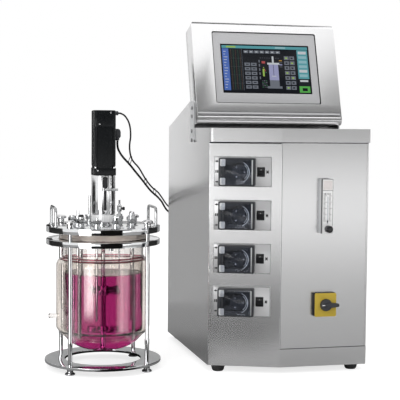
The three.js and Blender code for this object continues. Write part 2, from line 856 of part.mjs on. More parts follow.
function flowMeterKnob() {
  const back = stemFace - clearance;
  const grip = peg(flowMeter.knobRadius, back - flowMeter.knobLength, back, knobX, knobHeight);
  const flutes = Array.from({ length: flowMeter.flutes }, (_, i) => {
    const angle = ((i + 0.5) * 2 * Math.PI) / flowMeter.flutes;
    const x = knobX + (flowMeter.knobRadius + bite) * Math.cos(angle);
    const z = knobHeight + (flowMeter.knobRadius + bite) * Math.sin(angle);
    return peg(flowMeter.fluteRadius, back - flowMeter.knobLength - bite, back - 4 * bite, x, z, 6);
  });
  return cut(grip, flutes);
}

const switchFace = front - clearance - mainSwitch.depth;
const switchX = mainSwitch.left + mainSwitch.width / 2;
const switchZ = mainSwitch.bottom + mainSwitch.height / 2;
function mainSwitchPlate() {
  const { left, width, bottom, height, cornerRadius } = mainSwitch;
  const outline = rectangle(left, left + width, bottom, bottom + height, cornerRadius);
  return wallSlab(outline, switchFace, front - clearance);
}

// The round boss with its lever, which points to the right at rest.
function mainSwitchHandle() {
  const { bossRadius, bossDepth, leverReach, leverTail, leverHeight, leverRise, leverCorner } = mainSwitch;
  const back = switchFace - clearance;
  const boss = peg(bossRadius, back - bossDepth, back, switchX, switchZ, 20);
  const [low, high] = [switchZ - leverHeight / 2, switchZ + leverHeight / 2];
  const lever = rectangle(switchX - leverTail, switchX + leverReach, low, high, leverCorner);
  return join(boss, wallSlab(lever, back - bossDepth - leverRise, back - 2 * bite));
}

cabinetGroup.add(
  piece('flow_meter_body', flowMeterBody(), 'acrylic'),
  piece('flow_meter_knob', flowMeterKnob(), 'blackPlastic'),
  piece('main_switch_plate', mainSwitchPlate(), 'yellow'),
  piece('main_switch_handle', mainSwitchHandle(), 'blackPlastic'),
);

// ---------------------------------------------------------------- vessel: stand and plates
const vesselGroup = new THREE.Group();
vesselGroup.position.set(vessel.x, vessel.y, 0);
const ringTop = vessel.ringBottom + vessel.ringThickness;

function polar(radius, degrees) {
  const angle = THREE.MathUtils.degToRad(degrees);
  return [radius * Math.cos(angle), radius * Math.sin(angle)];
}

const pillarPlaces = {
  front_left: polar(vessel.pillarCircle, -135),
  front_right: polar(vessel.pillarCircle, -45),
  rear_right: polar(vessel.pillarCircle, 45),
  rear_left: polar(vessel.pillarCircle, 135),
};
const pillarHoles = Object.values(pillarPlaces).map(([x, y]) =>
  post(vessel.pillarRadius + clearance, 0, headTop + bite, x, y, 8),
);

const ringSides = 28;
const glassSides = 22;
function annulus(outer, inner, z0, z1, sides = ringSides) {
  return turned([[outer, z0], [outer, z1], [inner, z1], [inner, z0]], sides);
}

// One turned rod: levelling foot, shoulder under the ring, sleeve, and the hand nut over the plate.
function pillar(x, y) {
  const { footRadius, footHeight, shoulder, sleeveBottom, sleeveLength, sleeveWall } = stand;
  const { nutNeck, nutRim, nutHeight } = stand;
  const r = vessel.pillarRadius;
  const seat = vessel.ringBottom - clearance;
  const nut = headTop + clearance;
  const sleeveTop = sleeveBottom + sleeveLength;
  const profile = [
    [0, 0], [footRadius * 0.8, 0], [footRadius, footHeight / 3], [r + shoulder, footHeight],
    [r + shoulder, seat], [r, seat], [r, sleeveBottom], [r + sleeveWall, sleeveBottom],
    [r + sleeveWall, sleeveTop], [r, sleeveTop], [r, nut], [r + nutNeck, nut],
    [r + nutNeck, nut + nutHeight / 2], [r + nutRim, nut + nutHeight / 2],
    [r + nutRim, nut + nutHeight * 0.85], [r + nutRim / 2, nut + nutHeight], [0, nut + nutHeight],
  ];
  return turned(profile, 8).translate(x, y, 0);
}

const baseRing = annulus(vessel.ringOuter, vessel.ringInner, vessel.ringBottom, ringTop);
vesselGroup.add(piece('base_ring', cut(baseRing, pillarHoles), 'chrome'));
for (const [place, [x, y]] of Object.entries(pillarPlaces)) {
  vesselGroup.add(piece(`stand_pillar_${place}`, pillar(x, y), 'chrome'));
}

// The clamp ring under the glass flange, with the heads of its four screws below.
function clampRing() {
  const { plateRadius, neckRadius, clampBottom, fittingCircle, clampScrewRadius, clampScrewHead } = vessel;
  const ring = annulus(plateRadius, neckRadius + 2, clampBottom, clampTop);
  const heads = [-180, -90, 0, 90].map((degrees) => {
    const [x, y] = polar(fittingCircle, degrees);
    return post(clampScrewRadius, clampBottom - clampScrewHead, clampBottom + bite, x, y, 6);
  });
  return join(cut(ring, pillarHoles), heads);
}

const glassTop = headBottom - vessel.gasket - clearance;
function headGasket() {
  const inner = vessel.neckRadius - vessel.glassWall;
  return annulus(vessel.flangeRadius, inner, glassTop + clearance, headBottom - clearance, glassSides);
}
vesselGroup.add(piece('clamp_ring', clampRing(), 'chrome'), piece('head_gasket', headGasket(), 'gasket'));

// A welded ferrule with its union nut.
function ferruleAt({ angle, radius }) {
  const [x, y] = polar(radius, angle);
  const neckTop = headTop + ferrule.height;
  return [
    post(ferrule.neck, headTop - bite, neckTop, x, y, 8),
    post(ferrule.radius, neckTop - bite, ferruleTop, x, y, 6),
  ];
}

// The plate with its ferrules, the tubes fused to it, the drive's boss, and a bore through each open port.
function headPlate() {
  const { plateRadius } = vessel;
  const section = [[0, headBottom], [plateRadius, headBottom], [plateRadius, headTop], [0, headTop]];
  const plate = turned(section, ringSides);
  const at = ({ radius, angle }) => polar(radius, angle);
  const joint = ferruleTop - bite;
  const fittings = [
    post(well.radius, headTop - well.depth, headTop, ...at(ports.thermowell), 8),
    post(well.capRadius, joint, ferruleTop + well.capHeight, ...at(ports.thermowell), 8),
    post(exhaust.radius, joint, headTop + exhaust.rise, ...at(ports.exhaust), 8),
    post(exhaust.collar, joint - bite, ferruleTop + exhaust.collarHeight, ...at(ports.exhaust)),
    post(feed.radius, joint, headTop + feed.rise, ...at(ports.feed), 8),
    post(plug.radius, joint, ferruleTop + plug.height, ...at(ports.plugged), 10),
  ];
  const bossTop = headTop + drive.bossHeight;
  const boss = post(drive.neckRadius + drive.bossWall, headTop - bite, bossTop, 0, 0, 16);
  const bores = Object.values(ports).filter(({ bore }) => bore > 0).map((port) =>
    post(port.bore + clearance, headBottom - bite, ferruleTop + bite, ...at(port)),
  );
  const shaftBore = post(stirrer.shaftRadius + clearance, headBottom - bite, bossTop + bite);
  const ferrules = Object.values(ports).flatMap(ferruleAt);
  return cut(join(plate, boss, ferrules, fittings), bores, shaftBore, pillarHoles);
}
vesselGroup.add(piece('head_plate', headPlate(), 'chrome'));

// A bent round bar with two upright legs on small flanges.
function liftHandle(side) {
  const foot = headTop + clearance;
  const top = foot + handle.height - handle.radius;
  const half = handle.span / 2;
  const x = side * vessel.fittingCircle;
  const at = (y, z) => new THREE.Vector3(x, y, z);
  const shoulder = top - handle.bend;
  const turn = half - handle.bend;
  const route = new THREE.CurvePath();
  route.add(new THREE.LineCurve3(at(-half, foot), at(-half, shoulder)));
  route.add(new THREE.QuadraticBezierCurve3(at(-half, shoulder), at(-half, top), at(-turn, top)));
  route.add(new THREE.LineCurve3(at(-turn, top), at(turn, top)));
  route.add(new THREE.QuadraticBezierCurve3(at(turn, top), at(half, top), at(half, shoulder)));
  route.add(new THREE.LineCurve3(at(half, shoulder), at(half, foot)));
  const section = new THREE.Shape();
  section.absarc(0, 0, handle.radius, 0, 2 * Math.PI, false);
  const bar = new THREE.ExtrudeGeometry(section, { steps: 22, extrudePath: route, curveSegments: 4 });
  const rim = handle.radius + handle.flange;
  const flanges = [-half, half].map((y) => post(rim, foot, foot + handle.flange, x, y, 8));
  return join(bar, flanges);
}
vesselGroup.add(
  piece('lift_handle_left', liftHandle(-1), 'chrome'),
  piece('lift_handle_right', liftHandle(1), 'chrome'),
);

// ---------------------------------------------------------------- vessel: glass and medium
// Half an ellipse from the rim of the dish down to the axis, moved inwards by an offset.
function dish(offset) {
  const { glassRadius, dishRim, dishDepth } = vessel;
  return arc(0, dishRim, glassRadius - offset, dishDepth - offset, 0, -90, 5);
}

// The inner glass, open at its flanged neck.
function innerGlass() {
  const { glassRadius, glassWall, neckRadius, flangeRadius, weldHeight, weldRise } = vessel;
  const neckTop = clampTop + vessel.flangeSeat;
  return turned([
    ...dish(0).reverse(),
    [glassRadius, weldHeight],
    [neckRadius, weldHeight + weldRise],
    [neckRadius, neckTop],
    [flangeRadius, neckTop],
    [flangeRadius, glassTop],
    [neckRadius - glassWall, glassTop],
    ...dish(glassWall),
  ], glassSides);
}

// The jacket, which meets the dish below and the wall at the weld ring above.
function jacketGlass() {
  const { glassRadius, jacketRadius, jacketWall, jacketFoot, jacketHeel, jacketHeelInset, jacketTop } = vessel;
  const { shoulderRadius, weldHeight, dishRim, dishDepth } = vessel;
  const joint = -20;
  const [[footR, footZ]] = arc(0, dishRim, glassRadius - bite, dishDepth - bite, joint, joint, 1);
  const rise = weldHeight - jacketTop;
  const centre = jacketRadius - shoulderRadius;
  const heel = jacketFoot - jacketHeel;
  return turned([
    [footR, footZ],
    [jacketRadius - jacketHeelInset, heel],
    [jacketRadius, jacketFoot],
    ...arc(centre, jacketTop, shoulderRadius, rise, 0, 80, 3),
    [glassRadius - bite, weldHeight],
    ...arc(centre, jacketTop, shoulderRadius - jacketWall, rise - jacketWall, 80, 0, 3),
    [jacketRadius - jacketWall, jacketFoot + bite],
    [jacketRadius - jacketHeelInset - jacketWall, heel + jacketWall],
    [footR, footZ + jacketWall + 2 * bite],
  ], glassSides);
}

// A hose nozzle with its bulb, along X at a height, and its bore.
function hoseNozzle({ reach, height }) {
  const { radius, bulb, bulbLength, bore } = nozzle;
  const root = vessel.jacketRadius - 2 * bite;
  const tube = [crossPeg(radius, root, reach, 8), crossPeg(radius + bulb, reach - bulbLength, reach, 8)];
  const hole = crossPeg(bore, vessel.jacketRadius - vessel.jacketWall - 4 * bite, reach + bite, 8);
  return { tube: tube.map((part) => part.translate(0, 0, height)), hole: hole.translate(0, 0, height) };
}

function glassVessel() {
  const lower = hoseNozzle(nozzlePlaces.lower);
  const upper = hoseNozzle(nozzlePlaces.upper);
  [...lower.tube, lower.hole].forEach((part) => part.rotateZ(Math.PI));
  [...upper.tube, upper.hole].forEach((part) => part.rotateZ(Math.PI / 2));
  return cut(join(innerGlass(), jacketGlass(), lower.tube, upper.tube), lower.hole, upper.hole);
}
vesselGroup.add(piece('glass_vessel', glassVessel(), 'glass'));

// ---------------------------------------------------------------- vessel: stirrer
const runningGap = 3;

function impellerHub(centre, half) {
  return annulus(stirrer.hubRadius, stirrer.shaftRadius + clearance, centre - half, centre + half, 12);
}

// Flat blades on a disc.
function discTurbine(centre) {
  const { impellerRadius, shaftRadius, discInset, discHubHalf, discBladeLength, discBlades } = stirrer;
  const half = stirrer.bladeThickness / 2;
  const [low, high] = [centre - discHubHalf, centre + discHubHalf];
  const disc = annulus(impellerRadius - discInset, shaftRadius + clearance, centre - half, centre + half, 16);
  const blades = Array.from({ length: discBlades }, (_, i) => {
    const blade = block(impellerRadius - discBladeLength, impellerRadius, -half, half, low, high);
    return blade.rotateZ(((i + 1 / 3) * 2 * Math.PI) / discBlades);
  });
  return join(impellerHub(centre, discHubHalf), disc, blades);
}

// Broad pitched blades whose tips keep to the impeller's circle.
function pitchedImpeller(centre) {
  const { impellerRadius, hubRadius, hubHalf, pitchedBlades, bladePitch, bladeRoot, bladeWidth } = stirrer;
  const root = hubRadius - 3 * bite;
  const shoulder = impellerRadius - stirrer.bladeShoulder;
  const blade = new THREE.Shape();
  blade.moveTo(root, -bladeRoot / 2);
  blade.lineTo(shoulder, -bladeWidth / 2);
  blade.quadraticCurveTo(impellerRadius + bite, 0, shoulder, bladeWidth / 2);
  blade.lineTo(root, bladeRoot / 2);
  const depth = stirrer.bladeThickness;
  const blades = Array.from({ length: pitchedBlades }, (_, i) => {
    const drawn = new THREE.ExtrudeGeometry(blade, { depth, bevelEnabled: false, curveSegments: 5 });
    const pitched = drawn.translate(0, 0, -depth / 2).rotateX(bladePitch);
    return pitched.rotateZ(((i + 0.07) * 2 * Math.PI) / pitchedBlades).translate(0, 0, centre);
  });
  const bore = post(stirrer.shaftRadius + clearance, centre - bladeWidth, centre + bladeWidth);
  return cut(join(impellerHub(centre, hubHalf), blades), bore);
}

// The shaft up to the motor, with its split coupling in the lantern.
function agitatorShaft() {
  const { shaftRadius, shaftBottom, couplingRadius, couplingRise, couplingLength, couplingGroove } = stirrer;
  const top = lanternTop - clearance;
  const bottom = collarTop + couplingRise;
  const middle = bottom + couplingLength / 2;
  const groove = [middle - couplingGroove / 2, middle + couplingGroove / 2];
  const grooveRadius = couplingRadius - stirrer.couplingGrooveDepth;
  return turned([
    [0, shaftBottom], [shaftRadius, shaftBottom], [shaftRadius, bottom], [couplingRadius, bottom],
    [couplingRadius, groove[0]], [grooveRadius, groove[0]],
    [grooveRadius, groove[1]], [couplingRadius, groove[1]],
    [couplingRadius, bottom + couplingLength], [shaftRadius, bottom + couplingLength],
    [shaftRadius, top], [0, top],
  ], 10);
}
vesselGroup.add(
  piece('agitator_shaft', agitatorShaft(), 'chrome'),
  piece('upper_impeller', pitchedImpeller(stirrer.upperCentre), 'steel'),
  piece('lower_impeller', discTurbine(stirrer.lowerCentre), 'steel'),
);

// ---------------------------------------------------------------- vessel: probes and tubes
const fittingSeat = ferruleTop + clearance;

// A rod probe: sensing tip, collar that rests on the union nut, and its connector head.
const probeCollar = { height: 7, step: 3, edge: 2 };
function probe({ port, bottom, head, rise }) {
  const r = port.bore;
  const top = headTop + rise;
  const { height, step, edge } = probeCollar;
  const profile = [
    [0, bottom], [r - edge, bottom], [r, bottom + step], [r, fittingSeat], [head, fittingSeat],
    [head, fittingSeat + height], [head - step, fittingSeat + height], [head - step, top - edge],
    [head - step - edge, top], [0, top],
  ];
  return turned(profile, 10).translate(...polar(port.radius, port.angle), 0);
}
for (const [name, size] of Object.entries(probes)) {
  vesselGroup.add(piece(name, probe(size), size.finish));
}

// A stopper with a flat cap, seated in its ferrule.
function inoculationCap() {
  const { angle, radius, bore } = ports.inoculation;
  const foot = headBottom + stopper.sink;
  const cap = ferrule.radius - bite;
  const top = fittingSeat + stopper.height;
  const profile = [
    [0, foot], [bore, foot], [bore, fittingSeat], [cap, fittingSeat], [cap, top - stopper.edge],
    [cap - stopper.edge, top], [0, top],
  ];
  return turned(profile, 12).translate(...polar(radius, angle), 0);
}

// The dip tube with the body of its valve.
const [valveX, valveY] = polar(ports.sampling.radius, ports.sampling.angle);
const valveBottom = headTop + sampling.valveRise;
function samplingTube() {
  return join(
    post(ports.sampling.bore, sampling.bottom, headTop + sampling.rise, valveX, valveY, 8),
    post(sampling.collar, fittingSeat, fittingSeat + sampling.collarHeight, valveX, valveY, 10),
    post(sampling.valveRadius, valveBottom, valveBottom + sampling.valveHeight, valveX, valveY, 10),
  );
}

// A small round knob on the valve's right side, turning about X.
function samplingKnob() {
  const from = valveX + sampling.valveRadius + clearance;
  const knob = crossPeg(sampling.knobRadius, from, from + sampling.knobLength, 8);
  return knob.translate(0, valveY, valveBottom + sampling.valveHeight / 2);
}

// The gas tube that runs down the wall and feeds the ring under the lower impeller.
const [gasTubeX, gasTubeY] = polar(ports.sparger.radius, ports.sparger.angle);
const spargerTurn = THREE.MathUtils.degToRad(ports.sparger.angle);
function spargerPipe() {
  const { height, ring, tube, collar, collarHeight, rise } = sparger;
  const loop = turned(arc(ring, height, tube, tube, 0, 300, 5), 16);
  const arm = crossPeg(tube, ring, ports.sparger.radius, 8).translate(0, 0, height).rotateZ(spargerTurn);
  return join(
    loop,
    arm,
    post(ports.sparger.bore, height - tube, fittingSeat + rise, gasTubeX, gasTubeY, 8),
    post(collar, fittingSeat, fittingSeat + collarHeight, gasTubeX, gasTubeY, 8),
  );
}
vesselGroup.add(
  piece('inoculation_cap', inoculationCap(), 'chrome'),
  piece('sampling_tube', samplingTube(), 'chrome'),
  piece('sampling_valve_knob', samplingKnob(), 'blackPlastic'),
  piece('sparger', spargerPipe(), 'chrome'),
);

// The space that the stirrer and the gas ring need inside the medium, as one turned shape.
function stirrerSweep() {
  const { shaftRadius, impellerRadius, lowerCentre, upperCentre, discHubHalf, bladeWidth } = stirrer;
  const shaft = shaftRadius + runningGap;
  const tip = impellerRadius + runningGap;
  const ring = sparger.ring + sparger.tube + runningGap;
  const floor = sparger.height - sparger.tube - runningGap;
  const lowerTop = lowerCentre + discHubHalf + runningGap;
  const upperReach = bladeWidth / 2 + 2 * runningGap;
  const top = vessel.liquidLevel + bite;
  const gasRingTop = sparger.height + sparger.tube + runningGap;
  return turned([
    [0, floor], [ring, floor], [ring, gasRingTop], [tip, lowerCentre - discHubHalf - runningGap],
    [tip, lowerTop], [shaft, lowerTop + runningGap],
    [shaft, upperCentre - upperReach - runningGap], [tip, upperCentre - upperReach],
    [tip, upperCentre + upperReach], [shaft, upperCentre + upperReach + runningGap],
    [shaft, top], [0, top],
  ], 16);
}

// The medium fills the glass up to its level, clear of the stirrer's sweep and of what dips into it.
function cultureMedium() {
  const inner = vessel.glassWall + clearance;
  const level = vessel.liquidLevel;
  const fill = turned([...dish(inner).reverse(), [vessel.glassRadius - inner, level], [0, level]], glassSides);
  const dipped = [
    { port: ports.phProbe, radius: ports.phProbe.bore, bottom: probes.ph_probe.bottom },
    { port: ports.oxygenProbe, radius: ports.oxygenProbe.bore, bottom: probes.oxygen_probe.bottom },
    { port: ports.sampling, radius: ports.sampling.bore, bottom: sampling.bottom },
    { port: ports.thermowell, radius: well.radius, bottom: headTop - well.depth },
    { port: ports.sparger, radius: sparger.tube, bottom: sparger.height - sparger.tube },
  ];
  const dips = dipped.map(({ port, radius, bottom }) =>
    post(radius + 2 * clearance, bottom - clearance, level + bite, ...polar(port.radius, port.angle), 8),
  );
  const arm = crossPeg(sparger.tube + 2 * clearance, sparger.ring, ports.sparger.radius + bite, 8);
  return cut(fill, stirrerSweep(), dips, arm.translate(0, 0, sparger.height).rotateZ(spargerTurn));
}
vesselGroup.add(piece('culture_medium', cultureMedium(), 'medium'));

// ---------------------------------------------------------------- vessel: stirrer drive
// The seal housing and the lantern over it, with a window in front and a bar across it.
function motorLantern() {
  const { neckRadius, collarRadius, lanternRadius, lanternWall, windowWidth, slitWidth, edge } = drive;
  const seat = headTop + drive.bossHeight + clearance;
  const top = lanternTop - clearance;
  const bore = stirrer.shaftRadius + clearance;
  const wall = lanternRadius - lanternWall;
  const floor = collarTop + drive.floor;
  const shell = turned([
    [neckRadius, seat], [neckRadius, collarBottom], [collarRadius - edge, collarBottom],
    [collarRadius, collarBottom + edge], [collarRadius, collarTop], [lanternRadius, collarTop + edge],
    [lanternRadius, top], [wall, top], [wall, floor], [bore, floor], [bore, seat],
  ], 16);
  const sill = lanternTop - drive.windowHeight;
  const lintel = lanternTop - drive.windowLintel;
  const outside = lanternRadius + bite;
  const window = block(-windowWidth / 2, windowWidth / 2, -outside, outside, sill, lintel);
  const slit = block(-slitWidth / 2, slitWidth / 2, -outside, 0, floor + 4 * bite, sill + bite);
  const barHeight = sill - drive.barDrop;
  const barMiddle = lanternRadius / 2;
  const barEnds = [barMiddle - drive.barLength / 2, barMiddle + drive.barLength / 2];
  const bar = crossPeg(drive.barRadius, ...barEnds, 8).translate(0, -lanternRadius - 2 * bite, barHeight);
  const lugAt = [-windowWidth / 2 - drive.barRadius, windowWidth / 2];
  const lugs = lugAt.map((x) =>
    block(
      x,
      x + drive.barRadius,
      -lanternRadius - 3 * bite,
      -lanternRadius + 2 * drive.barRadius,
      barHeight - drive.barRadius * 0.7,
      barHeight + drive.barRadius * 0.7,
    ),
  );
  return join(cut(shell, window, slit), bar, lugs);
}

// A square servo motor with rounded corners, grooved sides and a mounting flange.
function motorOutline(inset, radius) {
  const half = motorHalf - inset;
  return rectangle(-half, half, -half, half, radius);
}

function motorBody() {
  const { flangeOverhang, flangeCorner, bodyCorner, grooveAt, grooveWidth, grooveDepth, screwInset } = drive;
  const flange = slab(motorOutline(-flangeOverhang, flangeCorner), lanternTop, flangeTop);
  const body = slab(motorOutline(0, bodyCorner), flangeTop - bite, bodyTop - clearance);
  const bottom = flangeTop + 2 * bite;
  const grooves = [0, 1, 2, 3].flatMap((quarter) =>
    [-grooveAt, grooveAt].map((x) => {
      const [left, right] = [x - grooveWidth / 2, x + grooveWidth / 2];
      const groove = block(left, right, -motorHalf - bite, -motorHalf + grooveDepth, bottom, bodyTop + bite);
      return groove.rotateZ((quarter * Math.PI) / 2);
    }),
  );
  const screwAt = motorHalf - screwInset;
  const screws = [-1, 1].flatMap((sx) =>
    [-1, 1].map((sy) =>
      post(drive.screwRadius, flangeTop - bite, flangeTop + drive.screwHeight, sx * screwAt, sy * screwAt, 8),
    ),
  );
  return join(cut(body, grooves), flange, screws);
}

// The encoder cover on the motor's top, with the gland of its cable at the right.
const encoderHeight = endCapTop - endCap.glandDrop;
const encoderFace = motorHalf + endCap.glandLength;
function motorEndCap() {
  const { gland, glandFlare, glandLength, screwRadius, screwAt, screwInset } = endCap;
  const { bodyCorner, endCapEdge } = drive;
  const shell = slab(motorOutline(0, bodyCorner), bodyTop, endCapTop - endCapEdge);
  const lid = slab(motorOutline(endCapEdge, bodyCorner - bite), endCapTop - endCapEdge - bite, endCapTop);
  const length = glandLength + 4 * bite;
  const tube = new THREE.CylinderGeometry(gland, gland + glandFlare, length, 10).rotateZ(-Math.PI / 2);
  tube.translate(encoderFace - length / 2, 0, encoderHeight);
  const screws = [[-screwAt, bodyTop + screwInset], [screwAt, endCapTop - screwInset]].map(([x, z]) =>
    peg(screwRadius, -motorHalf - bite, -motorHalf + bite, x, z, 8),
  );
  return join(shell, lid, tube, screws);
}

// The elbow plug on the motor's right side, its cable leaving downwards.
const plugStart = motorHalf + clearance;
const plugBottom = bodyTop - powerPlug.dropTop - powerPlug.height;
const plugCentre = plugStart + powerPlug.width / 2 + powerPlug.shoulder / 8;
function motorPlug() {
  const { width, depth, height, gland, glandLength, shoulder } = powerPlug;
  const end = plugStart + width;
  const foot = plugBottom + glandLength - 2 * bite;
  const outline = rounded([
    [plugStart, foot],
    [end - shoulder, foot, shoulder / 2],
    [end, foot + shoulder, shoulder / 2],
    [end, plugBottom + height, 2 * shoulder],
    [plugStart, plugBottom + height],
  ]);
  const body = wallSlab(outline, -depth / 2, depth / 2);
  return join(body, post(gland, plugBottom, plugBottom + glandLength, plugCentre, 0, 12));
}
vesselGroup.add(
  piece('motor_lantern', motorLantern(), 'chrome'),
  piece('motor_body', motorBody(), 'blackMetal'),
  piece('motor_end_cap', motorEndCap(), 'blackMetal'),
  piece('motor_plug', motorPlug(), 'blackPlastic'),
);

// ---------------------------------------------------------------- cables
// Both run from the motor down to the cabinet's rear left edge, round it, and into the glands at the back.
const powerStart = [vessel.x + plugCentre, vessel.y, plugBottom - clearance];
const powerRoute = [
  powerStart,
  [powerStart[0], vessel.y + 0.5, 655],
  [-240, 148, 643],
  [-231, 165, 630],
  [-216, 192, 615],
  [-190, 240, 595],
  [-160, 297, 569],
  [-127, 360, 541],
  [-84, 441, 503],
  [-46, 514, 478],
  [-20, 568, 458],
  [-4, 604, 441],
  [12, 628, 424],
  [34, 640, 409],
  [56, 634, 399],
  [69, 616, 396],
  [74, 598, glandHeight + 0.5],
  [glandX[0], glandFace + clearance, glandHeight],
];
const encoderStart = [vessel.x + encoderFace + clearance, vessel.y, encoderHeight];
const encoderRoute = [
  encoderStart,
  [encoderStart[0] + 4, vessel.y, encoderHeight],
  [encoderStart[0] + 13, vessel.y + 5, encoderHeight - 3],
  [-213, 172, 736],
  [-198, 202, 719],
  [-190, 222, 698],
  [-188, 230, 676],
  [-191, 229, 652],
  [-188, 238, 630],
  [-176, 266, 607],
  [-144, 326, 580],
  [-108, 398, 541],
  [-74, 465, 512],
  [-40, 530, 491],
  [-14, 584, 468],
  [10, 625, 444],
  [40, 654, 421],
  [74, 659, 405],
  [100, 642, 397],
  [113, 612, glandHeight + 0.5],
  [glandX[1], glandFace + clearance, glandHeight],
];
const cableGroup = new THREE.Group();
cableGroup.add(
  piece('motor_power_cable', cableAlong(powerRoute, cables.power, 40), 'rubber'),
  piece('encoder_cable', cableAlong(encoderRoute, cables.encoder, 46), 'rubber'),
);

// ---------------------------------------------------------------- the object
const bioreactor = new THREE.Group();
bioreactor.name = 'bench_bioreactor';
bioreactor.add(cabinetGroup, vesselGroup);
bioreactor.updateMatrixWorld(true);
const extent = new THREE.Box3().setFromObject(bioreactor, true);
const centre = extent.getCenter(new THREE.Vector3());
bioreactor.add(cableGroup);
bioreactor.position.set(-centre.x, -centre.y, 0);
bioreactor.updateMatrixWorld(true);

export default bioreactor;
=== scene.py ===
"""Looks of the bench bioreactor: fine pieces, materials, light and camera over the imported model. Metres, +Z up."""

import math

import bmesh
import bpy
from mathutils import Matrix, Vector


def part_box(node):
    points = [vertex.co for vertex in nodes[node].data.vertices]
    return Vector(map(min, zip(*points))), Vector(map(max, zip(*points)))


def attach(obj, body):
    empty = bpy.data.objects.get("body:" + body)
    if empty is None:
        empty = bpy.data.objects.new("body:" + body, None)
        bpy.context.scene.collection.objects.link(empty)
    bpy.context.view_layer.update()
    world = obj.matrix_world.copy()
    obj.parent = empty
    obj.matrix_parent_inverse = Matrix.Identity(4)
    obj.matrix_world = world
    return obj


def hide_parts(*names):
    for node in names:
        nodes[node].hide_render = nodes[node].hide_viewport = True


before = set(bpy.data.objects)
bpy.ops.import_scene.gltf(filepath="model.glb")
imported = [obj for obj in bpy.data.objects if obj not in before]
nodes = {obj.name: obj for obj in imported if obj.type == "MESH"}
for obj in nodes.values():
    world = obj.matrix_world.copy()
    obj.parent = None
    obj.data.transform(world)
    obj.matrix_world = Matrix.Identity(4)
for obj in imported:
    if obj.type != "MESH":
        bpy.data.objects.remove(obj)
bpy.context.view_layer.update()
scene = bpy.context.scene
UP = Vector((0, 0, 1))
ROOT = "bioreactor"


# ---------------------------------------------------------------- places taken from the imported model
def middle(node):
    low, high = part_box(node)
    return (low + high) / 2


def extent(node):
    low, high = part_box(node)
    return high - low


cabinet_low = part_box("cabinet_body")[0]
cap_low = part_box("top_cap")[0]
panel_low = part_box("service_panel")[0]
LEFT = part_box("console_housing")[0].x
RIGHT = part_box("console_housing")[1].x
FRONT = panel_low.y
CAP_SKIRT = 0.0395
CAP_TOP = cap_low.z + CAP_SKIRT
FACET_WIDTH, FACET_SETBACK = 0.1945, 0.074
CORNER = Vector((LEFT, FRONT + FACET_SETBACK, 0))  # the cabinet's front left corner, at the floor
FACET = Matrix.Translation(CORNER) @ Matrix.Rotation(-math.atan2(FACET_SETBACK, FACET_WIDTH), 4, "Z")
AXIS = middle("base_ring").to_2d()  # the vessel's own axis
PILLARS = ["front_left", "front_right", "rear_right", "rear_left"]
PLATE_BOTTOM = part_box("head_gasket")[1].z
PLATE_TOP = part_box("lift_handle_left")[0].z


# ---------------------------------------------------------------- shapes
def link(name, data):
    piece = bpy.data.objects.new(name, data)
    scene.collection.objects.link(piece)
    return piece


def shade(piece, angle=32):
    piece.data.shade_smooth()
    piece.data.set_sharp_from_angle(angle=math.radians(angle))
    return piece


def from_bmesh(name, bm, place=Matrix.Identity(4)):
    bmesh.ops.remove_doubles(bm, verts=bm.verts, dist=1e-6)
    bmesh.ops.recalc_face_normals(bm, faces=bm.faces)
    bm.transform(place)
    mesh = bpy.data.meshes.new(name)
    bm.to_mesh(mesh)
    bm.free()
    return shade(link(name, mesh))


def eased(points, radius, closed=True, steps=3):
    """The same outline with each corner rounded, as far as its edges allow."""
    count = len(points)
    outline = []
    for i, point in enumerate(points):
        here = Vector(point)
        if not closed and i in (0, count - 1):
            outline.append(here)
            continue
        before = Vector(points[i - 1]) - here
        after = Vector(points[(i + 1) % count]) - here
        reach = min(radius, 0.45 * before.length, 0.45 * after.length)
        start = here + before.normalized() * reach
        end = here + after.normalized() * reach
        for step in range(steps + 1):
            t = step / steps
            outline.append((1 - t) ** 2 * start + 2 * t * (1 - t) * here + t * t * end)
    return outline


def rectangle(x0, x1, y0, y1, radius=0.0, steps=4):
    corners = [(x0, y0), (x1, y0), (x1, y1), (x0, y1)]
    return eased(corners, radius, steps=steps) if radius else [Vector(c) for c in corners]


def arc(cx, cy, rx, ry, start, end, steps):
    """Points of a round stretch of an outline, angles in degrees."""
    turns = [math.radians(start + (end - start) * i / steps) for i in range(steps + 1)]
    return [(cx + rx * math.cos(a), cy + ry * math.sin(a)) for a in turns]


def turned_mesh(bm, profile, place=Matrix.Identity(4), sides=64):
    """Adds a solid of revolution about local Z. The profile runs from axis to axis, or closes on itself."""
    rings = []
    for radius, height in profile:
        around = [2 * math.pi * i / sides for i in range(sides)] if radius > 1e-7 else [0.0]
        ring = [(radius * math.cos(a), radius * math.sin(a), height) for a in around]
        rings.append([bm.verts.new(place @ Vector(v)) for v in ring])
    pairs = list(zip(rings, rings[1:]))
    if len(rings[0]) > 1:
        pairs.append((rings[-1], rings[0]))
    for lower, upper in pairs:
        for i in range(sides):
            j = (i + 1) % sides
            corners = [lower[i % len(lower)], lower[j % len(lower)], upper[j % len(upper)], upper[i % len(upper)]]
            unique = list(dict.fromkeys(corners))
            if len(unique) > 2:
                bm.faces.new(unique)


def turned(name, profile, at=AXIS, sides=64, place=None):
    bm = bmesh.new()
    spot = place if place else Matrix.Translation((at[0], at[1], 0))
    turned_mesh(bm, profile, spot, sides)
    return from_bmesh(name, bm)


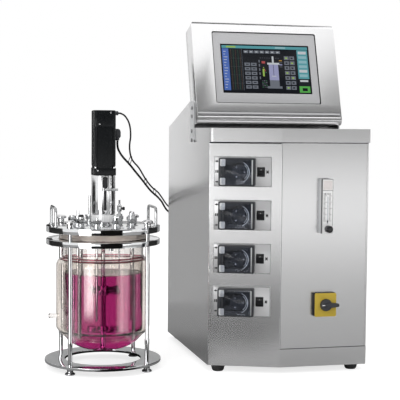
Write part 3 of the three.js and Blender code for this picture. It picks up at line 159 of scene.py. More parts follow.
def prism_mesh(bm, outline, z0, z1, place=Matrix.Identity(4), ease=0.0):
    """Adds an outline in local XY drawn from z0 to z1, its two rims eased."""
    base = [bm.verts.new((p[0], p[1], z0)) for p in outline]
    top = [bm.verts.new((p[0], p[1], z1)) for p in outline]
    caps = [bm.faces.new(base), bm.faces.new(top)]
    count = len(outline)
    for i in range(count):
        j = (i + 1) % count
        bm.faces.new((base[i], base[j], top[j], top[i]))
    made = base + top
    if ease:
        rims = {edge for cap in caps for edge in cap.edges}
        result = bmesh.ops.bevel(bm, geom=list(rims), offset=ease, segments=2, profile=0.5, affect="EDGES")
        made = [v for v in set(made) | set(result["verts"]) if v.is_valid]
    bmesh.ops.transform(bm, matrix=place, verts=made)


def prism(name, outline, z0, z1, place=Matrix.Identity(4), ease=0.0):
    bm = bmesh.new()
    prism_mesh(bm, outline, z0, z1, place, ease)
    return from_bmesh(name, bm)


# Local frames for prisms: the outline lies in an upright plane and its depth runs away from the viewer.
FACING = Matrix(((1, 0, 0, 0), (0, 0, 1, 0), (0, 1, 0, 0), (0, 0, 0, 1)))  # outline in X-Z, depth along +Y
SIDEWAYS = Matrix(((0, 0, 1, 0), (1, 0, 0, 0), (0, 1, 0, 0), (0, 0, 0, 1)))  # outline in Y-Z, depth along +X


def rod(name, points, radius, sides=20):
    """A round bar along points, as a mesh."""
    curve = bpy.data.curves.new(name, "CURVE")
    curve.dimensions = "3D"
    curve.bevel_depth = radius
    curve.bevel_resolution = max(1, sides // 4 - 1)
    curve.use_fill_caps = True
    spline = curve.splines.new("POLY")
    spline.points.add(len(points) - 1)
    for knot, point in zip(spline.points, points):
        knot.co = (*point, 1)
    draft = link(name + "_draft", curve)
    bpy.context.view_layer.update()
    mesh = bpy.data.meshes.new_from_object(draft.evaluated_get(bpy.context.evaluated_depsgraph_get()))
    bpy.data.objects.remove(draft)
    mesh.name = name
    return shade(link(name, mesh))


def merged(name, pieces):
    """One piece from several, with their materials kept."""
    bm = bmesh.new()
    slots = []
    for piece in pieces:
        offset = len(slots)
        slots.extend(piece.data.materials)
        start = len(bm.faces)
        bm.from_mesh(piece.data)
        bm.faces.ensure_lookup_table()
        for face in bm.faces[start:]:
            face.material_index += offset
    mesh = bpy.data.meshes.new(name)
    bm.to_mesh(mesh)
    bm.free()
    for slot in slots:
        mesh.materials.append(slot)
    for piece in pieces:
        bpy.data.objects.remove(piece)
    return shade(link(name, mesh))


def settle(piece):
    """Applies a piece's modifiers."""
    bpy.context.view_layer.update()
    solid = bpy.data.meshes.new_from_object(piece.evaluated_get(bpy.context.evaluated_depsgraph_get()))
    piece.modifiers.clear()
    piece.data = solid
    return shade(piece)


def carve(piece, *tools, how="DIFFERENCE"):
    for tool in tools:
        cut = piece.modifiers.new("cut", "BOOLEAN")
        cut.operation = how
        cut.solver = "EXACT"
        cut.object = tool
    settle(piece)
    for tool in tools:
        bpy.data.objects.remove(tool)
    return piece


def soften(piece, width, angle=38, segments=3):
    """Rounds the sharp edges of a finished solid."""
    bevel = piece.modifiers.new("soften", "BEVEL")
    bevel.width = width
    bevel.segments = segments
    bevel.limit_method = "ANGLE"
    bevel.angle_limit = math.radians(angle)
    return settle(piece)


def dress(piece, material, body=ROOT, replaces=()):
    """Gives a piece its material, its body, and the CAD nodes that it stands for."""
    if material is not None:
        piece.data.materials.clear()
        piece.data.materials.append(material)
    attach(piece, body)
    if replaces:
        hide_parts(*replaces)
    return piece


# ---------------------------------------------------------------- materials
def surface(name, colour, roughness, metallic=0.0, grain=None, depth=0.0, tint=0.06, spread=0.08, **sockets):
    """A principled material whose colour, roughness and bump vary with a stretched noise."""
    material = bpy.data.materials.new(name)
    material.use_nodes = True
    tree = material.node_tree
    shader = tree.nodes["Principled BSDF"]
    shader.inputs["Metallic"].default_value = metallic
    for socket, value in sockets.items():
        shader.inputs[socket.replace("_", " ")].default_value = value
    place = tree.nodes.new("ShaderNodeTexCoord")
    stretch = tree.nodes.new("ShaderNodeMapping")
    stretch.inputs["Scale"].default_value = grain or (60, 60, 60)
    noise = tree.nodes.new("ShaderNodeTexNoise")
    noise.inputs["Scale"].default_value = 1
    noise.inputs["Detail"].default_value = 3
    tree.links.new(place.outputs["Object"], stretch.inputs["Vector"])
    tree.links.new(stretch.outputs["Vector"], noise.inputs["Vector"])
    ramp = tree.nodes.new("ShaderNodeValToRGB")
    ramp.color_ramp.elements[0].position = 0.3
    ramp.color_ramp.elements[1].position = 0.7
    for element, side in zip(ramp.color_ramp.elements, (-1, 1)):
        element.color = (*[min(1, c * (1 + side * tint)) for c in colour], 1)
    tree.links.new(noise.outputs["Fac"], ramp.inputs["Fac"])
    tree.links.new(ramp.outputs["Color"], shader.inputs["Base Color"])
    rough = tree.nodes.new("ShaderNodeMapRange")
    rough.inputs["To Min"].default_value = max(0, roughness - spread)
    rough.inputs["To Max"].default_value = roughness + spread
    tree.links.new(noise.outputs["Fac"], rough.inputs["Value"])
    tree.links.new(rough.outputs["Result"], shader.inputs["Roughness"])
    if depth:
        bump = tree.nodes.new("ShaderNodeBump")
        bump.inputs["Strength"].default_value = 0.5
        bump.inputs["Distance"].default_value = depth
        tree.links.new(noise.outputs["Fac"], bump.inputs["Height"])
        tree.links.new(bump.outputs["Normal"], shader.inputs["Normal"])
    return material


def clear(name, colour, ior, roughness=0.0, absorb=None, density=0.0):
    """A clear body: glass, acrylic or liquid, with its own absorption."""
    material = surface(name, colour, roughness, tint=0.01, spread=0.005, grain=(20, 20, 20))
    tree = material.node_tree
    shader = tree.nodes["Principled BSDF"]
    shader.inputs["Transmission Weight"].default_value = 1
    shader.inputs["IOR"].default_value = ior
    if absorb:
        volume = tree.nodes.new("ShaderNodeVolumeAbsorption")
        volume.inputs["Color"].default_value = (*absorb, 1)
        volume.inputs["Density"].default_value = density
        tree.links.new(volume.outputs["Volume"], tree.nodes["Material Output"].inputs["Volume"])
    return material


def glowing(name, colour, strength=0.37):
    """A lit patch of the display."""
    material = surface(name, [0.25 * c for c in colour], 0.3, tint=0.03)
    shader = material.node_tree.nodes["Principled BSDF"]
    shader.inputs["Emission Color"].default_value = (*colour, 1)
    shader.inputs["Emission Strength"].default_value = strength
    shader.inputs["Specular IOR Level"].default_value = 0.15
    return material


LEVEL_GRAIN = (6, 6, 900)
UPRIGHT_GRAIN = (900, 900, 6)
brushed = surface("brushed_steel", (0.79, 0.79, 0.795), 0.25, 1, LEVEL_GRAIN, 0.000004, 0.015, 0.03)
console_steel = surface("console_steel", (0.80, 0.80, 0.805), 0.20, 1, LEVEL_GRAIN, 0.000003, 0.015, 0.02)
# A darker copy of the steel, for painted shade in grooves.
shaded_groove_steel = surface("shaded_groove_steel", (0.55, 0.55, 0.56), 0.35, 0.8, LEVEL_GRAIN, 0.0, 0.03, 0.03)
plate_steel = surface("plate_steel", (0.74, 0.74, 0.75), 0.36, 0.75, LEVEL_GRAIN, 0.00001, 0.02, 0.04)
polished = surface("polished_steel", (0.80, 0.81, 0.82), 0.07, 1, (30, 30, 30), 0.0, 0.03, 0.03)
handle_steel = surface("handle_steel", (0.50, 0.505, 0.51), 0.16, 1, (60, 60, 300), 0.0, 0.05, 0.04)
pillar_steel = surface("pillar_steel", (0.74, 0.74, 0.75), 0.10, 1, (30, 30, 200), 0.0, 0.03, 0.03)
foot_steel = surface("foot_steel", (0.42, 0.42, 0.43), 0.24, 1, (60, 60, 400), 0.000005, 0.08, 0.05)
satin_steel = surface("satin_steel", (0.84, 0.84, 0.85), 0.30, 0.55, (12, 12, 900), 0.00001, 0.05, 0.04)
# A lighter, duller copy of the steel, for painted highlight on the grip's ribs.
lit_rib_steel = surface("lit_rib_steel", (0.95, 0.955, 0.96), 0.4, 0.15, (12, 12, 900), 0.00001, 0.05, 0.04)
lantern_steel = surface("lantern_steel", (0.80, 0.805, 0.81), 0.15, 1, (12, 12, 300), 0.0, 0.03, 0.03)
turned_steel = surface("turned_steel", (0.72, 0.73, 0.74), 0.22, 1, (9, 9, 700), 0.00001, 0.05, 0.06)
aluminium = surface("anodised_trim", (0.78, 0.79, 0.80), 0.3, 1, UPRIGHT_GRAIN, 0.0, 0.04, 0.05)
rubber = surface("black_rubber", (0.022, 0.022, 0.023), 0.62, 0, (260, 260, 260), 0.00005, 0.2)
jacket_black = surface("cable_jacket", (0.008, 0.008, 0.009), 0.5, 0, (300, 300, 300), 0.00003, 0.2,
    Specular_IOR_Level=0.12)
# Dark grey and black for painted shade: shadow lines in seams, under the lid's skirt, round the bezel and inside the
# lantern.
shade_grey = surface("painted_seam_shade", (0.18, 0.18, 0.185), 0.6, 0, (200, 200, 200), 0.0, 0.2, Specular_IOR_Level=0.2)
shade_black = surface("painted_shadow", (0.03, 0.03, 0.032), 0.7, 0, (200, 200, 200), 0.0, 0.2, Specular_IOR_Level=0.2)
moulded = surface("moulded_black", (0.028, 0.030, 0.035), 0.4, 0, (700, 700, 700), 0.00003, 0.15)
gloss_black = surface("gloss_black", (0.012, 0.012, 0.014), 0.22, 0, (200, 200, 200), 0.0, 0.15, 0.05)
motor_paint = surface("motor_paint", (0.006, 0.007, 0.008), 0.22, 0.0, (400, 400, 400), 0.00001, 0.2, 0.05,
    Specular_IOR_Level=0.22)
bezel_paint = surface("bezel_paint", (0.42, 0.42, 0.43), 0.40, 0.0, (300, 300, 300), 0.00001, 0.04)
display_black = surface("display_black", (0.006, 0.007, 0.010), 0.25, 0, (40, 40, 40), 0.0, 0.1, 0.03,
    Specular_IOR_Level=0.12)
clip_clear = surface("clip_plastic", (0.60, 0.61, 0.62), 0.25, 0, (300, 300, 300), 0.00002, 0.05)
rotor_grey = surface("rotor_plastic", (0.035, 0.038, 0.045), 0.3, 0.2, (300, 300, 300), 0.00002, 0.1)
roller_steel = surface("roller_steel", (0.6, 0.61, 0.63), 0.25, 1, (200, 200, 900), 0.0, 0.05)
yellow = surface("switch_yellow", (0.45, 0.32, 0.024), 0.34, 0, (300, 300, 300), 0.00002, 0.05)
white_print = surface("white_print", (0.80, 0.80, 0.80), 0.5, 0, (300, 300, 300), 0.0, 0.03)
meter_side = surface("meter_side", (0.05, 0.052, 0.055), 0.15, 0, (80, 80, 80), 0.0, 0.1)
meter_back = surface("meter_back", (0.55, 0.56, 0.575), 0.12, 0, (80, 80, 80), 0.0, 0.08)
meter_label = surface("meter_label", (0.66, 0.62, 0.61), 0.35, 0, (200, 200, 200), 0.0, 0.08)
meter_bore = surface("meter_bore_tint", (0.60, 0.62, 0.64), 0.2, 0, (80, 80, 300), 0.0, 0.1)
meter_ink = surface("meter_ink", (0.10, 0.10, 0.10), 0.5, 0, (300, 300, 300), 0.0, 0.1)
black_print = surface("black_print", (0.02, 0.02, 0.02), 0.5, 0, (300, 300, 300), 0.0, 0.1)
seal = surface("silicone_seal", (0.62, 0.52, 0.44), 0.5, 0, (120, 120, 120), 0.00002, 0.08)
glass = clear("borosilicate", (0.99, 0.985, 0.98), 1.47, 0.0, (0.62, 0.53, 0.47), 40)
jacket = clear("jacket_glass", (0.995, 0.99, 0.985), 1.47, 0.0, (0.66, 0.56, 0.47), 95)
jacket.node_tree.nodes["Principled BSDF"].inputs["Specular IOR Level"].default_value = 0.35
cuff_silicone = surface(
    "cuff_silicone", (1.0, 0.90, 0.84), 0.18, 0, (9, 9, 160), 0.00004, 0.05, Transmission_Weight=0.55, IOR=1.25)
weld_glass = clear("weld_glass", (0.80, 0.50, 0.55), 1.47, 0.05, (0.60, 0.20, 0.28), 160)
acrylic = clear("clear_acrylic", (0.96, 0.97, 0.97), 1.35, 0.02)
smoked = clear("smoked_plastic", (0.74, 0.77, 0.84), 1.3, 0.03)
# Light grey for the painted highlight arcs round each rotor.
highlight_grey = surface("painted_highlight_grey", (0.72, 0.74, 0.76), 0.35, 0, (200, 200, 200), 0.00001, 0.05)
medium = clear("culture_liquid", (0.99, 0.93, 0.98), 1.33, 0.0, (0.79, 0.02, 0.57), 16)
medium.node_tree.nodes["Principled BSDF"].inputs["Specular IOR Level"].default_value = 0.1


# ---------------------------------------------------------------- camera and cables
def catmull(points, per_span=10):
    """A centripetal curve through given points."""
    knots = [Vector(p) for p in points]
    ends = [knots[0] * 2 - knots[1], *knots, knots[-1] * 2 - knots[-2]]
    line = []
    for a, b, c, d in zip(ends, ends[1:], ends[2:], ends[3:]):
        t0 = 0.0
        t1 = t0 + (b - a).length ** 0.5
        t2 = t1 + (c - b).length ** 0.5
        t3 = t2 + (d - c).length ** 0.5
        for step in range(per_span):
            t = t1 + (t2 - t1) * step / per_span
            ab = a.lerp(b, (t - t0) / (t1 - t0))
            bc = b.lerp(c, (t - t1) / (t2 - t1))
            cd = c.lerp(d, (t - t2) / (t3 - t2))
            abc = ab.lerp(bc, (t - t0) / (t2 - t0))
            bcd = bc.lerp(cd, (t - t1) / (t3 - t1))
            line.append(abc.lerp(bcd, (t - t1) / (t2 - t1)))
    line.append(knots[-1])
    return line


def cable(name, points, diameter, node):
    line = catmull(points)
    curve = bpy.data.curves.new(name, "CURVE")
    curve.dimensions = "3D"
    curve.bevel_depth = diameter / 2
    curve.bevel_resolution = 4
    curve.use_fill_caps = True
    spline = curve.splines.new("POLY")
    spline.points.add(len(line) - 1)
    for knot, point in zip(spline.points, line):
        knot.co = (*point, 1)
    piece = dress(link(name, curve), jacket_black, replaces=[node])
    return line


camera_data = bpy.data.cameras.new("camera")
camera_data.sensor_width = 36
camera_data.lens = 99.9
camera = link("camera", camera_data)
YAW, PITCH, ROLL = math.radians(13.80), math.radians(3.59), math.radians(0.5)
ahead = Vector((math.sin(YAW) * math.cos(PITCH), math.cos(YAW) * math.cos(PITCH), -math.sin(PITCH)))
level = Vector((math.cos(YAW), -math.sin(YAW), 0))
upward = level.cross(ahead)
across = math.cos(ROLL) * level + math.sin(ROLL) * upward
camera.matrix_world = Matrix.Translation((-0.7897, -3.3133, 0.6985)) @ Matrix(
    (across, -math.sin(ROLL) * level + math.cos(ROLL) * upward, -ahead)
).transposed().to_4x4()
scene.camera = camera

# Each route starts at the middle of its cable's solid end and repeats the source's points, from the same corner.
POWER_ROUTE = [
    (-0.2429, 0.1415, 0.6667), (-0.2429, 0.1420, 0.655), (-0.240, 0.148, 0.643), (-0.231, 0.165, 0.630),
    (-0.216, 0.192, 0.615), (-0.190, 0.240, 0.595), (-0.160, 0.297, 0.569), (-0.127, 0.360, 0.541),
    (-0.084, 0.441, 0.503), (-0.046, 0.514, 0.478), (-0.020, 0.568, 0.458), (-0.004, 0.604, 0.441),
    (0.012, 0.628, 0.424), (0.034, 0.640, 0.409), (0.056, 0.634, 0.399), (0.069, 0.616, 0.396),
    (0.074, 0.598, 0.3955), (0.075, 0.5756, 0.395),
]
ENCODER_ROUTE = [
    (-0.2397, 0.1415, 0.7465), (-0.2357, 0.1415, 0.7465), (-0.2267, 0.1465, 0.7435), (-0.213, 0.172, 0.736),
    (-0.198, 0.202, 0.719), (-0.190, 0.222, 0.698), (-0.188, 0.230, 0.676), (-0.191, 0.229, 0.652),
    (-0.188, 0.238, 0.630), (-0.176, 0.266, 0.607), (-0.144, 0.326, 0.580), (-0.108, 0.398, 0.541),
    (-0.074, 0.465, 0.512), (-0.040, 0.530, 0.491), (-0.014, 0.584, 0.468), (0.010, 0.625, 0.444),
    (0.040, 0.654, 0.421), (0.074, 0.659, 0.405), (0.100, 0.642, 0.397), (0.113, 0.612, 0.3955),
    (0.115, 0.5756, 0.395),
]


def from_corner(route):
    return [CORNER + Vector(point) for point in route]


power_line = cable("power_cable", from_corner(POWER_ROUTE), 0.0064, "motor_power_cable")
encoder_line = cable("signal_cable", from_corner(ENCODER_ROUTE), 0.005, "encoder_cable")


def cable_tie(name, near):
    """A thin strap round both cables where they run side by side."""
    a = min(power_line, key=lambda p: (p - near).length)
    b = min(encoder_line, key=lambda p: (p - a).length)
    centre = (a + b) / 2
    along = (power_line[power_line.index(a) + 1] - a).normalized()
    reach = (b - a).length / 2 + 0.0045
    side = (b - a).normalized() if (b - a).length > 1e-4 else along.cross(UP).normalized()
    third = along.cross(side)
    turn = Matrix((side, third, along)).transposed().to_4x4()
    place = Matrix.Translation(centre) @ turn
    ring = [(math.cos(t) * reach, math.sin(t) * 0.0048) for t in [2 * math.pi * i / 32 for i in range(32)]]
    inner = [(math.cos(t) * (reach - 0.0012),
        math.sin(t) * 0.0036) for t in [2 * math.pi * i / 32 for i in range(32)]]
    bm = bmesh.new()
    levels = [[bm.verts.new((x, y, z)) for x, y in loop] for loop, z in
              ((ring, -0.0014), (ring, 0.0014), (inner, 0.0014), (inner, -0.0014))]
    for lower, upper in zip(levels, levels[1:] + levels[:1]):
        for i in range(32):
            j = (i + 1) % 32
            bm.faces.new((lower[i], lower[j], upper[j], upper[i]))
    dress(from_bmesh(name, bm, place), jacket_black)


TIE_SPOTS = {"tie_upper": (-0.190, 0.240, 0.600), "tie_middle": (-0.108, 0.398, 0.538),
    "tie_lower": (-0.060, 0.487, 0.490)}
for tie, spot in TIE_SPOTS.items():
    cable_tie(tie, CORNER + Vector(spot))


# ---------------------------------------------------------------- cabinet
def cabinet():
    for name in ("cabinet_body", "service_panel", "top_cap"):
        nodes[name].data.materials.clear()
        nodes[name].data.materials.append(brushed)
    for side in ("left", "right"):
        nodes[f"console_strap_{side}"].data.materials.clear()
        nodes[f"console_strap_{side}"].data.materials.append(aluminium)
    for corner in PILLARS:
        foot(f"cabinet_foot_{corner}")


def foot(node):
    low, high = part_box(node)
    centre = (low + high) / 2
    height = high.z
    profile = [(0, 0), (0.0135, 0), (0.016, 0.002), (0.0175, 0.005), (0.0205, height - 0.001), (0.0205, height),
        (0, height)]
    dress(turned(node + "_look", profile, centre, 40), rubber, replaces=[node])


def kick_strip():
    """The folded lip under the service panel: its crest stands a little proud and its face leans in below."""
    low_edge, crest = cabinet_low.z + 0.001, panel_low.z - 0.0006
    start, end = CORNER + Vector((FACET_WIDTH, -FACET_SETBACK, 0)), Vector((RIGHT, FRONT, 0))
    face = [(0.0003, low_edge), (-0.0009, crest - 0.0012), (-0.0009, crest - 0.0003), (-0.0003, crest),
        (0.0010, crest)]
    bm = bmesh.new()
    ends = [[bm.verts.new((x, FRONT + y, z)) for y, z in face] for x in (start.x + 0.0004, end.x - 0.0006)]
    for i in range(len(face) - 1):
        bm.faces.new((ends[0][i], ends[0][i + 1], ends[1][i + 1], ends[1][i]))
    for row in ends:
        bm.faces.new(row)
    bm.faces.new((ends[0][0], ends[0][-1], ends[1][-1], ends[1][0]))
    dress(from_bmesh("kick_strip", bm), brushed)


def seam_shade_strips():
    """Painted shade: dark strips for the shadow under the lid's skirt and in the seams at the panel's left edge and
    over the kick strip.
    """
    skirt, panel_foot = cap_low.z, panel_low.z
    facet_end = math.hypot(FACET_WIDTH, FACET_SETBACK)
    bend = CORNER.x + FACET_WIDTH
    bm = bmesh.new()
    # painted shadow under the lid's skirt, along the facet and along the front
    prism_mesh(bm, rectangle(0.001, facet_end - 0.001, skirt - 0.0045, skirt + 0.0003), -0.0006, 0.0004,
        FACET @ FACING)
    front = Matrix.Translation((0, FRONT, 0)) @ FACING
    prism_mesh(bm, rectangle(bend + 0.001, RIGHT - 0.003, skirt - 0.0024, skirt - 0.0001), -0.0004, 0.0009, front)
    # painted shade in the seam over the kick strip
    prism_mesh(bm, rectangle(bend + 0.0012, RIGHT - 0.0035, panel_foot - 0.0012, panel_foot + 0.0010), -0.0005,
        0.0009, front)
    dress(from_bmesh("panel_shade_strips", bm), shade_black)
    # painted shade in the seam at the panel's left edge
    upright = rectangle(bend + 0.0013, bend + 0.0023, panel_foot + 0.001, skirt - 0.0024)
    dress(prism("panel_side_shade_strip", upright, 0.0001, 0.0009, front), shade_grey)


def strap_screws():
    """Dark domed screws on the two straps, over the plain heads."""
    for side, sign in (("left", -1), ("right", 1)):
        low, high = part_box(f"console_strap_{side}")
        outer = low.x if sign < 0 else high.x
        bm = bmesh.new()
        for rise in (-0.038, -0.010, 0.035, 0.060):
            spot = Matrix.Translation((outer - sign * 0.0019, (low.y + high.y) / 2, CAP_TOP + rise))
            turn = spot @ Matrix.Rotation(sign * math.pi / 2, 4, "Y")
            dome = [(0, 0), (0.0058, 0), (0.0058, 0.0006), (0.0046, 0.0017), (0.0018, 0.0020), (0.0016, 0.0012),
                (0, 0.0012)]
            turned_mesh(bm, dome, turn, 28)
        dress(from_bmesh(f"strap_screws_{side}", bm), gloss_black)


cabinet()
kick_strip()
seam_shade_strips()
strap_screws()

CONSOLE_LEAN = math.radians(17.7)
FACE_FOOT = Vector((LEFT, CORNER.y + 0.144, CAP_TOP + 0.011))
CONSOLE = Matrix.Translation(FACE_FOOT) @ Matrix.Rotation(-CONSOLE_LEAN, 4, "X")
FACE_LENGTH, CONSOLE_THICKNESS = 0.332, 0.074
CONSOLE_WIDTH = RIGHT - LEFT


def console():
    """The leaning sheet housing: a folded profile with a round nose below and eased edges all round."""
    top_y, top_z = FACE_LENGTH * math.sin(CONSOLE_LEAN), FACE_LENGTH * math.cos(CONSOLE_LEAN)
    back_y = CONSOLE_THICKNESS / math.cos(CONSOLE_LEAN)
    rear = (top_y + CONSOLE_THICKNESS * math.cos(CONSOLE_LEAN), top_z - CONSOLE_THICKNESS * math.sin(CONSOLE_LEAN))
    def on_face(along, inward):
        """A profile point from its place along the leaning face and its depth behind it."""
        return Vector((along * math.sin(CONSOLE_LEAN) + inward * math.cos(CONSOLE_LEAN),
                       along * math.cos(CONSOLE_LEAN) - inward * math.sin(CONSOLE_LEAN)))

    nose, nose_at = 0.0163, on_face(0.0225, 0.0164)
    tilt = 180 - math.degrees(CONSOLE_LEAN)
    outline = (
        [Vector(v) for v in arc(*nose_at, nose, nose, tilt, 270, 16)]
        + eased([(0, 0), (back_y, 0), rear], 0.005, closed=False)[1:-1]
        + eased([(back_y, 0), rear, (top_y, top_z)], 0.012, closed=False, steps=6)[1:-1]
        + eased([rear, (top_y, top_z), (0, 0)], 0.010, closed=False, steps=6)[1:-1]
    )
    housing = prism("console_shell", outline, 0, CONSOLE_WIDTH, Matrix.Translation(FACE_FOOT) @ SIDEWAYS)
    front = rectangle(0, CONSOLE_WIDTH, -0.012, FACE_LENGTH, 0.015, 8)
    envelope = prism("envelope", front, -0.05, 0.2, CONSOLE @ FACING)
    carve(housing, envelope, how="INTERSECT")
    groove = [on_face(0.042, -0.003), on_face(0.042, 0.006), on_face(0.0352, 0.006)]
    groove += [Vector(v) for v in arc(*nose_at, nose, nose, tilt - 46, tilt - 4, 10)]
    groove += [on_face(0.0225, -0.003)]
    cheek = 0.004
    cut = prism("groove", groove, cheek, CONSOLE_WIDTH - cheek, Matrix.Translation(FACE_FOOT) @ SIDEWAYS)
    carve(housing, cut)
    soften(housing, 0.0022)
    # A darker steel strip on the groove's floor: painted shade in the groove.
    floor_line = [on_face(0.0350, 0.0028), on_face(0.0412, 0.0034), on_face(0.0412, 0.0066), on_face(0.0350, 0.0066)]
    groove_shade = prism("nose_groove_shade", floor_line, cheek, CONSOLE_WIDTH - cheek, Matrix.Translation(FACE_FOOT) @ SIDEWAYS)
    dress(groove_shade, shaded_groove_steel)
    low, high = bezel_rectangle(0.0028)
    mouth = rectangle(low[0], high[0], low[1], high[1], 0.006)
    pocket = prism("pocket", mouth, -0.01, 0.0082, CONSOLE @ FACING)
    dress(carve(housing, pocket), console_steel, replaces=["console_housing"])
    # A black ring in the gap round the bezel: painted shade of the recess.
    dress(prism("bezel_recess_shade", mouth, 0.0060, 0.0083, CONSOLE @ FACING), shade_black)


def bezel_rectangle(margin):
    half = 0.1645 + margin
    centre = CONSOLE_WIDTH / 2
    return (centre - half, 0.071 - margin), (centre + half, 0.297 + margin)


SCREEN_WIDTH, SCREEN_HEIGHT = 0.284, 0.158
SCREEN_CENTRE = (CONSOLE_WIDTH / 2, 0.181)


def bezel():
    low, high = bezel_rectangle(0)
    plate = prism("panel_bezel", rectangle(low[0], high[0], low[1], high[1], 0.004), 0.0025, 0.0075,
        CONSOLE @ FACING, 0.0012)
    w, h = SCREEN_WIDTH / 2 + 0.0006, SCREEN_HEIGHT / 2 + 0.0006
    cx, cy = SCREEN_CENTRE
    window = prism("window", rectangle(cx - w, cx + w, cy - h, cy + h, 0.002), -0.01, 0.0061, CONSOLE @ FACING)
    dress(carve(plate, window), bezel_paint, replaces=["screen_bezel"])


display_tones = {
    "dark": display_black,
    "slate": glowing("display_slate", (0.012, 0.016, 0.022)),
    "blue": glowing("display_blue", (0.10, 0.20, 0.62)),
    "teal": glowing("display_teal", (0.12, 0.42, 0.47)),
    "sky": glowing("display_sky", (0.35, 0.62, 0.68)),
    "tile": glowing("display_tile", (0.20, 0.22, 0.26)),
    "pale": glowing("display_pale", (0.72, 0.76, 0.80)),
    "lilac": glowing("display_lilac", (0.42, 0.43, 0.68)),
    "green": glowing("display_green", (0.12, 0.52, 0.10)),
    "lime": glowing("display_lime", (0.40, 0.62, 0.12)),
    "amber": glowing("display_amber", (0.62, 0.35, 0.06)),
    "red": glowing("display_red", (0.55, 0.10, 0.10)),
    "dim": glowing("display_dim", (0.10, 0.11, 0.13)),
    "dim_green": glowing("display_dim_green", (0.06, 0.20, 0.10)),
    "dim_amber": glowing("display_dim_amber", (0.20, 0.11, 0.05)),
}


def display_layout():
    """Patches of a plain process display, as shares of the screen: tone, left, bottom, right, top."""
    yield "teal", 0.0, 0.94, 1.0, 1.0
    yield "lime", 0.05, 0.952, 0.16, 0.988
    yield "sky", 0.62, 0.952, 0.74, 0.99
    yield "blue", 0.0, 0.03, 0.075, 0.93
    for row in range(14):
        y = 0.08 + row * 0.06
        yield "pale", 0.015, y, 0.035 + 0.008 * (row * 5 % 4), y + 0.012
    yield "slate", 0.085, 0.03, 0.225, 0.93
    for line in range(5):
        x = 0.1 + line * 0.027
        yield "dim_green" if line % 2 else "dim_amber", x, 0.05, x + 0.0022, 0.91
    for line in range(1, 5):
        yield "dim", 0.085, 0.18 * line, 0.225, 0.18 * line + 0.003
    yield "tile", 0.226, 0.03, 0.2285, 0.93
    for row in range(5):
        for column in range(3):
            x, y = 0.44 + column * 0.022, 0.10 + row * 0.034
            yield ("dim_green", "dim", "tile")[(row + column) % 3], x, y, x + 0.014, y + 0.016
    for row in range(4):
        yield ("amber", "dim", "lilac", "dim")[row], 0.655, 0.68 - row * 0.045, 0.690, 0.70 - row * 0.045
    for step in range(9):
        yield "dim", 0.432 + step * 0.026, 0.735, 0.446 + step * 0.026, 0.748
    for step in range(4):
        yield ("lime", "amber", "red",
            "dim_green")[step], 0.462 + step * 0.008, 0.52 - step * 0.035, 0.474 + step * 0.008, 0.54 - step * 0.035
    for column in range(7):
        yield "tile", 0.25 + column * 0.062, 0.84, 0.302 + column * 0.062, 0.9
        yield "pale", 0.262 + column * 0.062, 0.86, 0.285 + column * 0.062, 0.878
    for row in range(6):
        for column in range(2):
            x, y = 0.25 + column * 0.075, 0.07 + row * 0.098
            yield "tile", x, y, x + 0.064, y + 0.07
            yield "dark", x + 0.016, y + 0.026, x + 0.048, y + 0.046
    for row in range(5):
        yield "tile", 0.415, 0.28 + row * 0.09, 0.428, 0.335 + row * 0.09
    for row in range(7):
        for column in range(2):
            x, y = 0.715 + column * 0.065, 0.06 + row * 0.108
            yield "tile", x, y, x + 0.056, y + 0.08
            yield ("lime" if (row + column) % 3 == 0 else "dark"), x + 0.014, y + 0.025, x + 0.038, y + 0.055
    yield "teal", 0.87, 0.30, 0.995, 0.93
    for row in range(6):
        yield ("pale" if row in (1, 5) else "sky"), 0.885, 0.34 + row * 0.1, 0.98, 0.40 + row * 0.1
    yield "slate", 0.87, 0.15, 0.995, 0.29
    yield "pale", 0.885, 0.235, 0.98, 0.275
    yield "green", 0.87, 0.0, 0.995, 0.14
    yield "dark", 0.905, 0.035, 0.965, 0.10
    yield "lilac", 0.53, 0.26, 0.64, 0.60
    yield "pale", 0.515, 0.60, 0.655, 0.64
    yield "pale", 0.572, 0.64, 0.592, 0.78
    yield "dark", 0.580, 0.36, 0.585, 0.60
    yield "pale", 0.56, 0.34, 0.61, 0.355
    yield "tile", 0.50, 0.08, 0.67, 0.13
    yield "tile", 0.53, 0.13, 0.64, 0.26
    yield "red", 0.45, 0.62, 0.49, 0.67
    yield "lime", 0.455, 0.34, 0.475, 0.50


def display():
    """The touch screen: a dark glass with the lit patches laid just over its face."""
    cx, cy = SCREEN_CENTRE
    w, h = SCREEN_WIDTH / 2, SCREEN_HEIGHT / 2
    face = 0.0031
    panel = prism("display_glass", rectangle(cx - w, cx + w, cy - h, cy + h, 0.001), face, 0.006, CONSOLE @ FACING,
        0.0003)
    dress(panel, display_black, replaces=["touch_screen"])
    picture = bpy.data.meshes.new("display_picture")
    tones = list(display_tones)
    bm = bmesh.new()
    margin = 0.004
    span = Vector((2 * (w - margin), 2 * (h - margin)))
    for layer, (tone, x0, y0, x1, y1) in enumerate(display_layout()):
        depth = face - 0.0001 - 0.000003 * layer
        corners = [(x0, y0), (x1, y0), (x1, y1), (x0, y1)]
        spots = [(cx - w + margin + x * span.x, cy - h + margin + y * span.y, depth) for x, y in corners]
        quad = bm.faces.new([bm.verts.new(spot) for spot in spots])
        quad.material_index = tones.index(tone)
    bm.transform(CONSOLE @ FACING)
    for quad in bm.faces:
        quad.normal_update()
        if quad.normal.y > 0:
            quad.normal_flip()
    bm.to_mesh(picture)
    bm.free()
    for tone in tones:
        picture.materials.append(display_tones[tone])
    dress(link("display_picture", picture), None)


console()
bezel()
display()


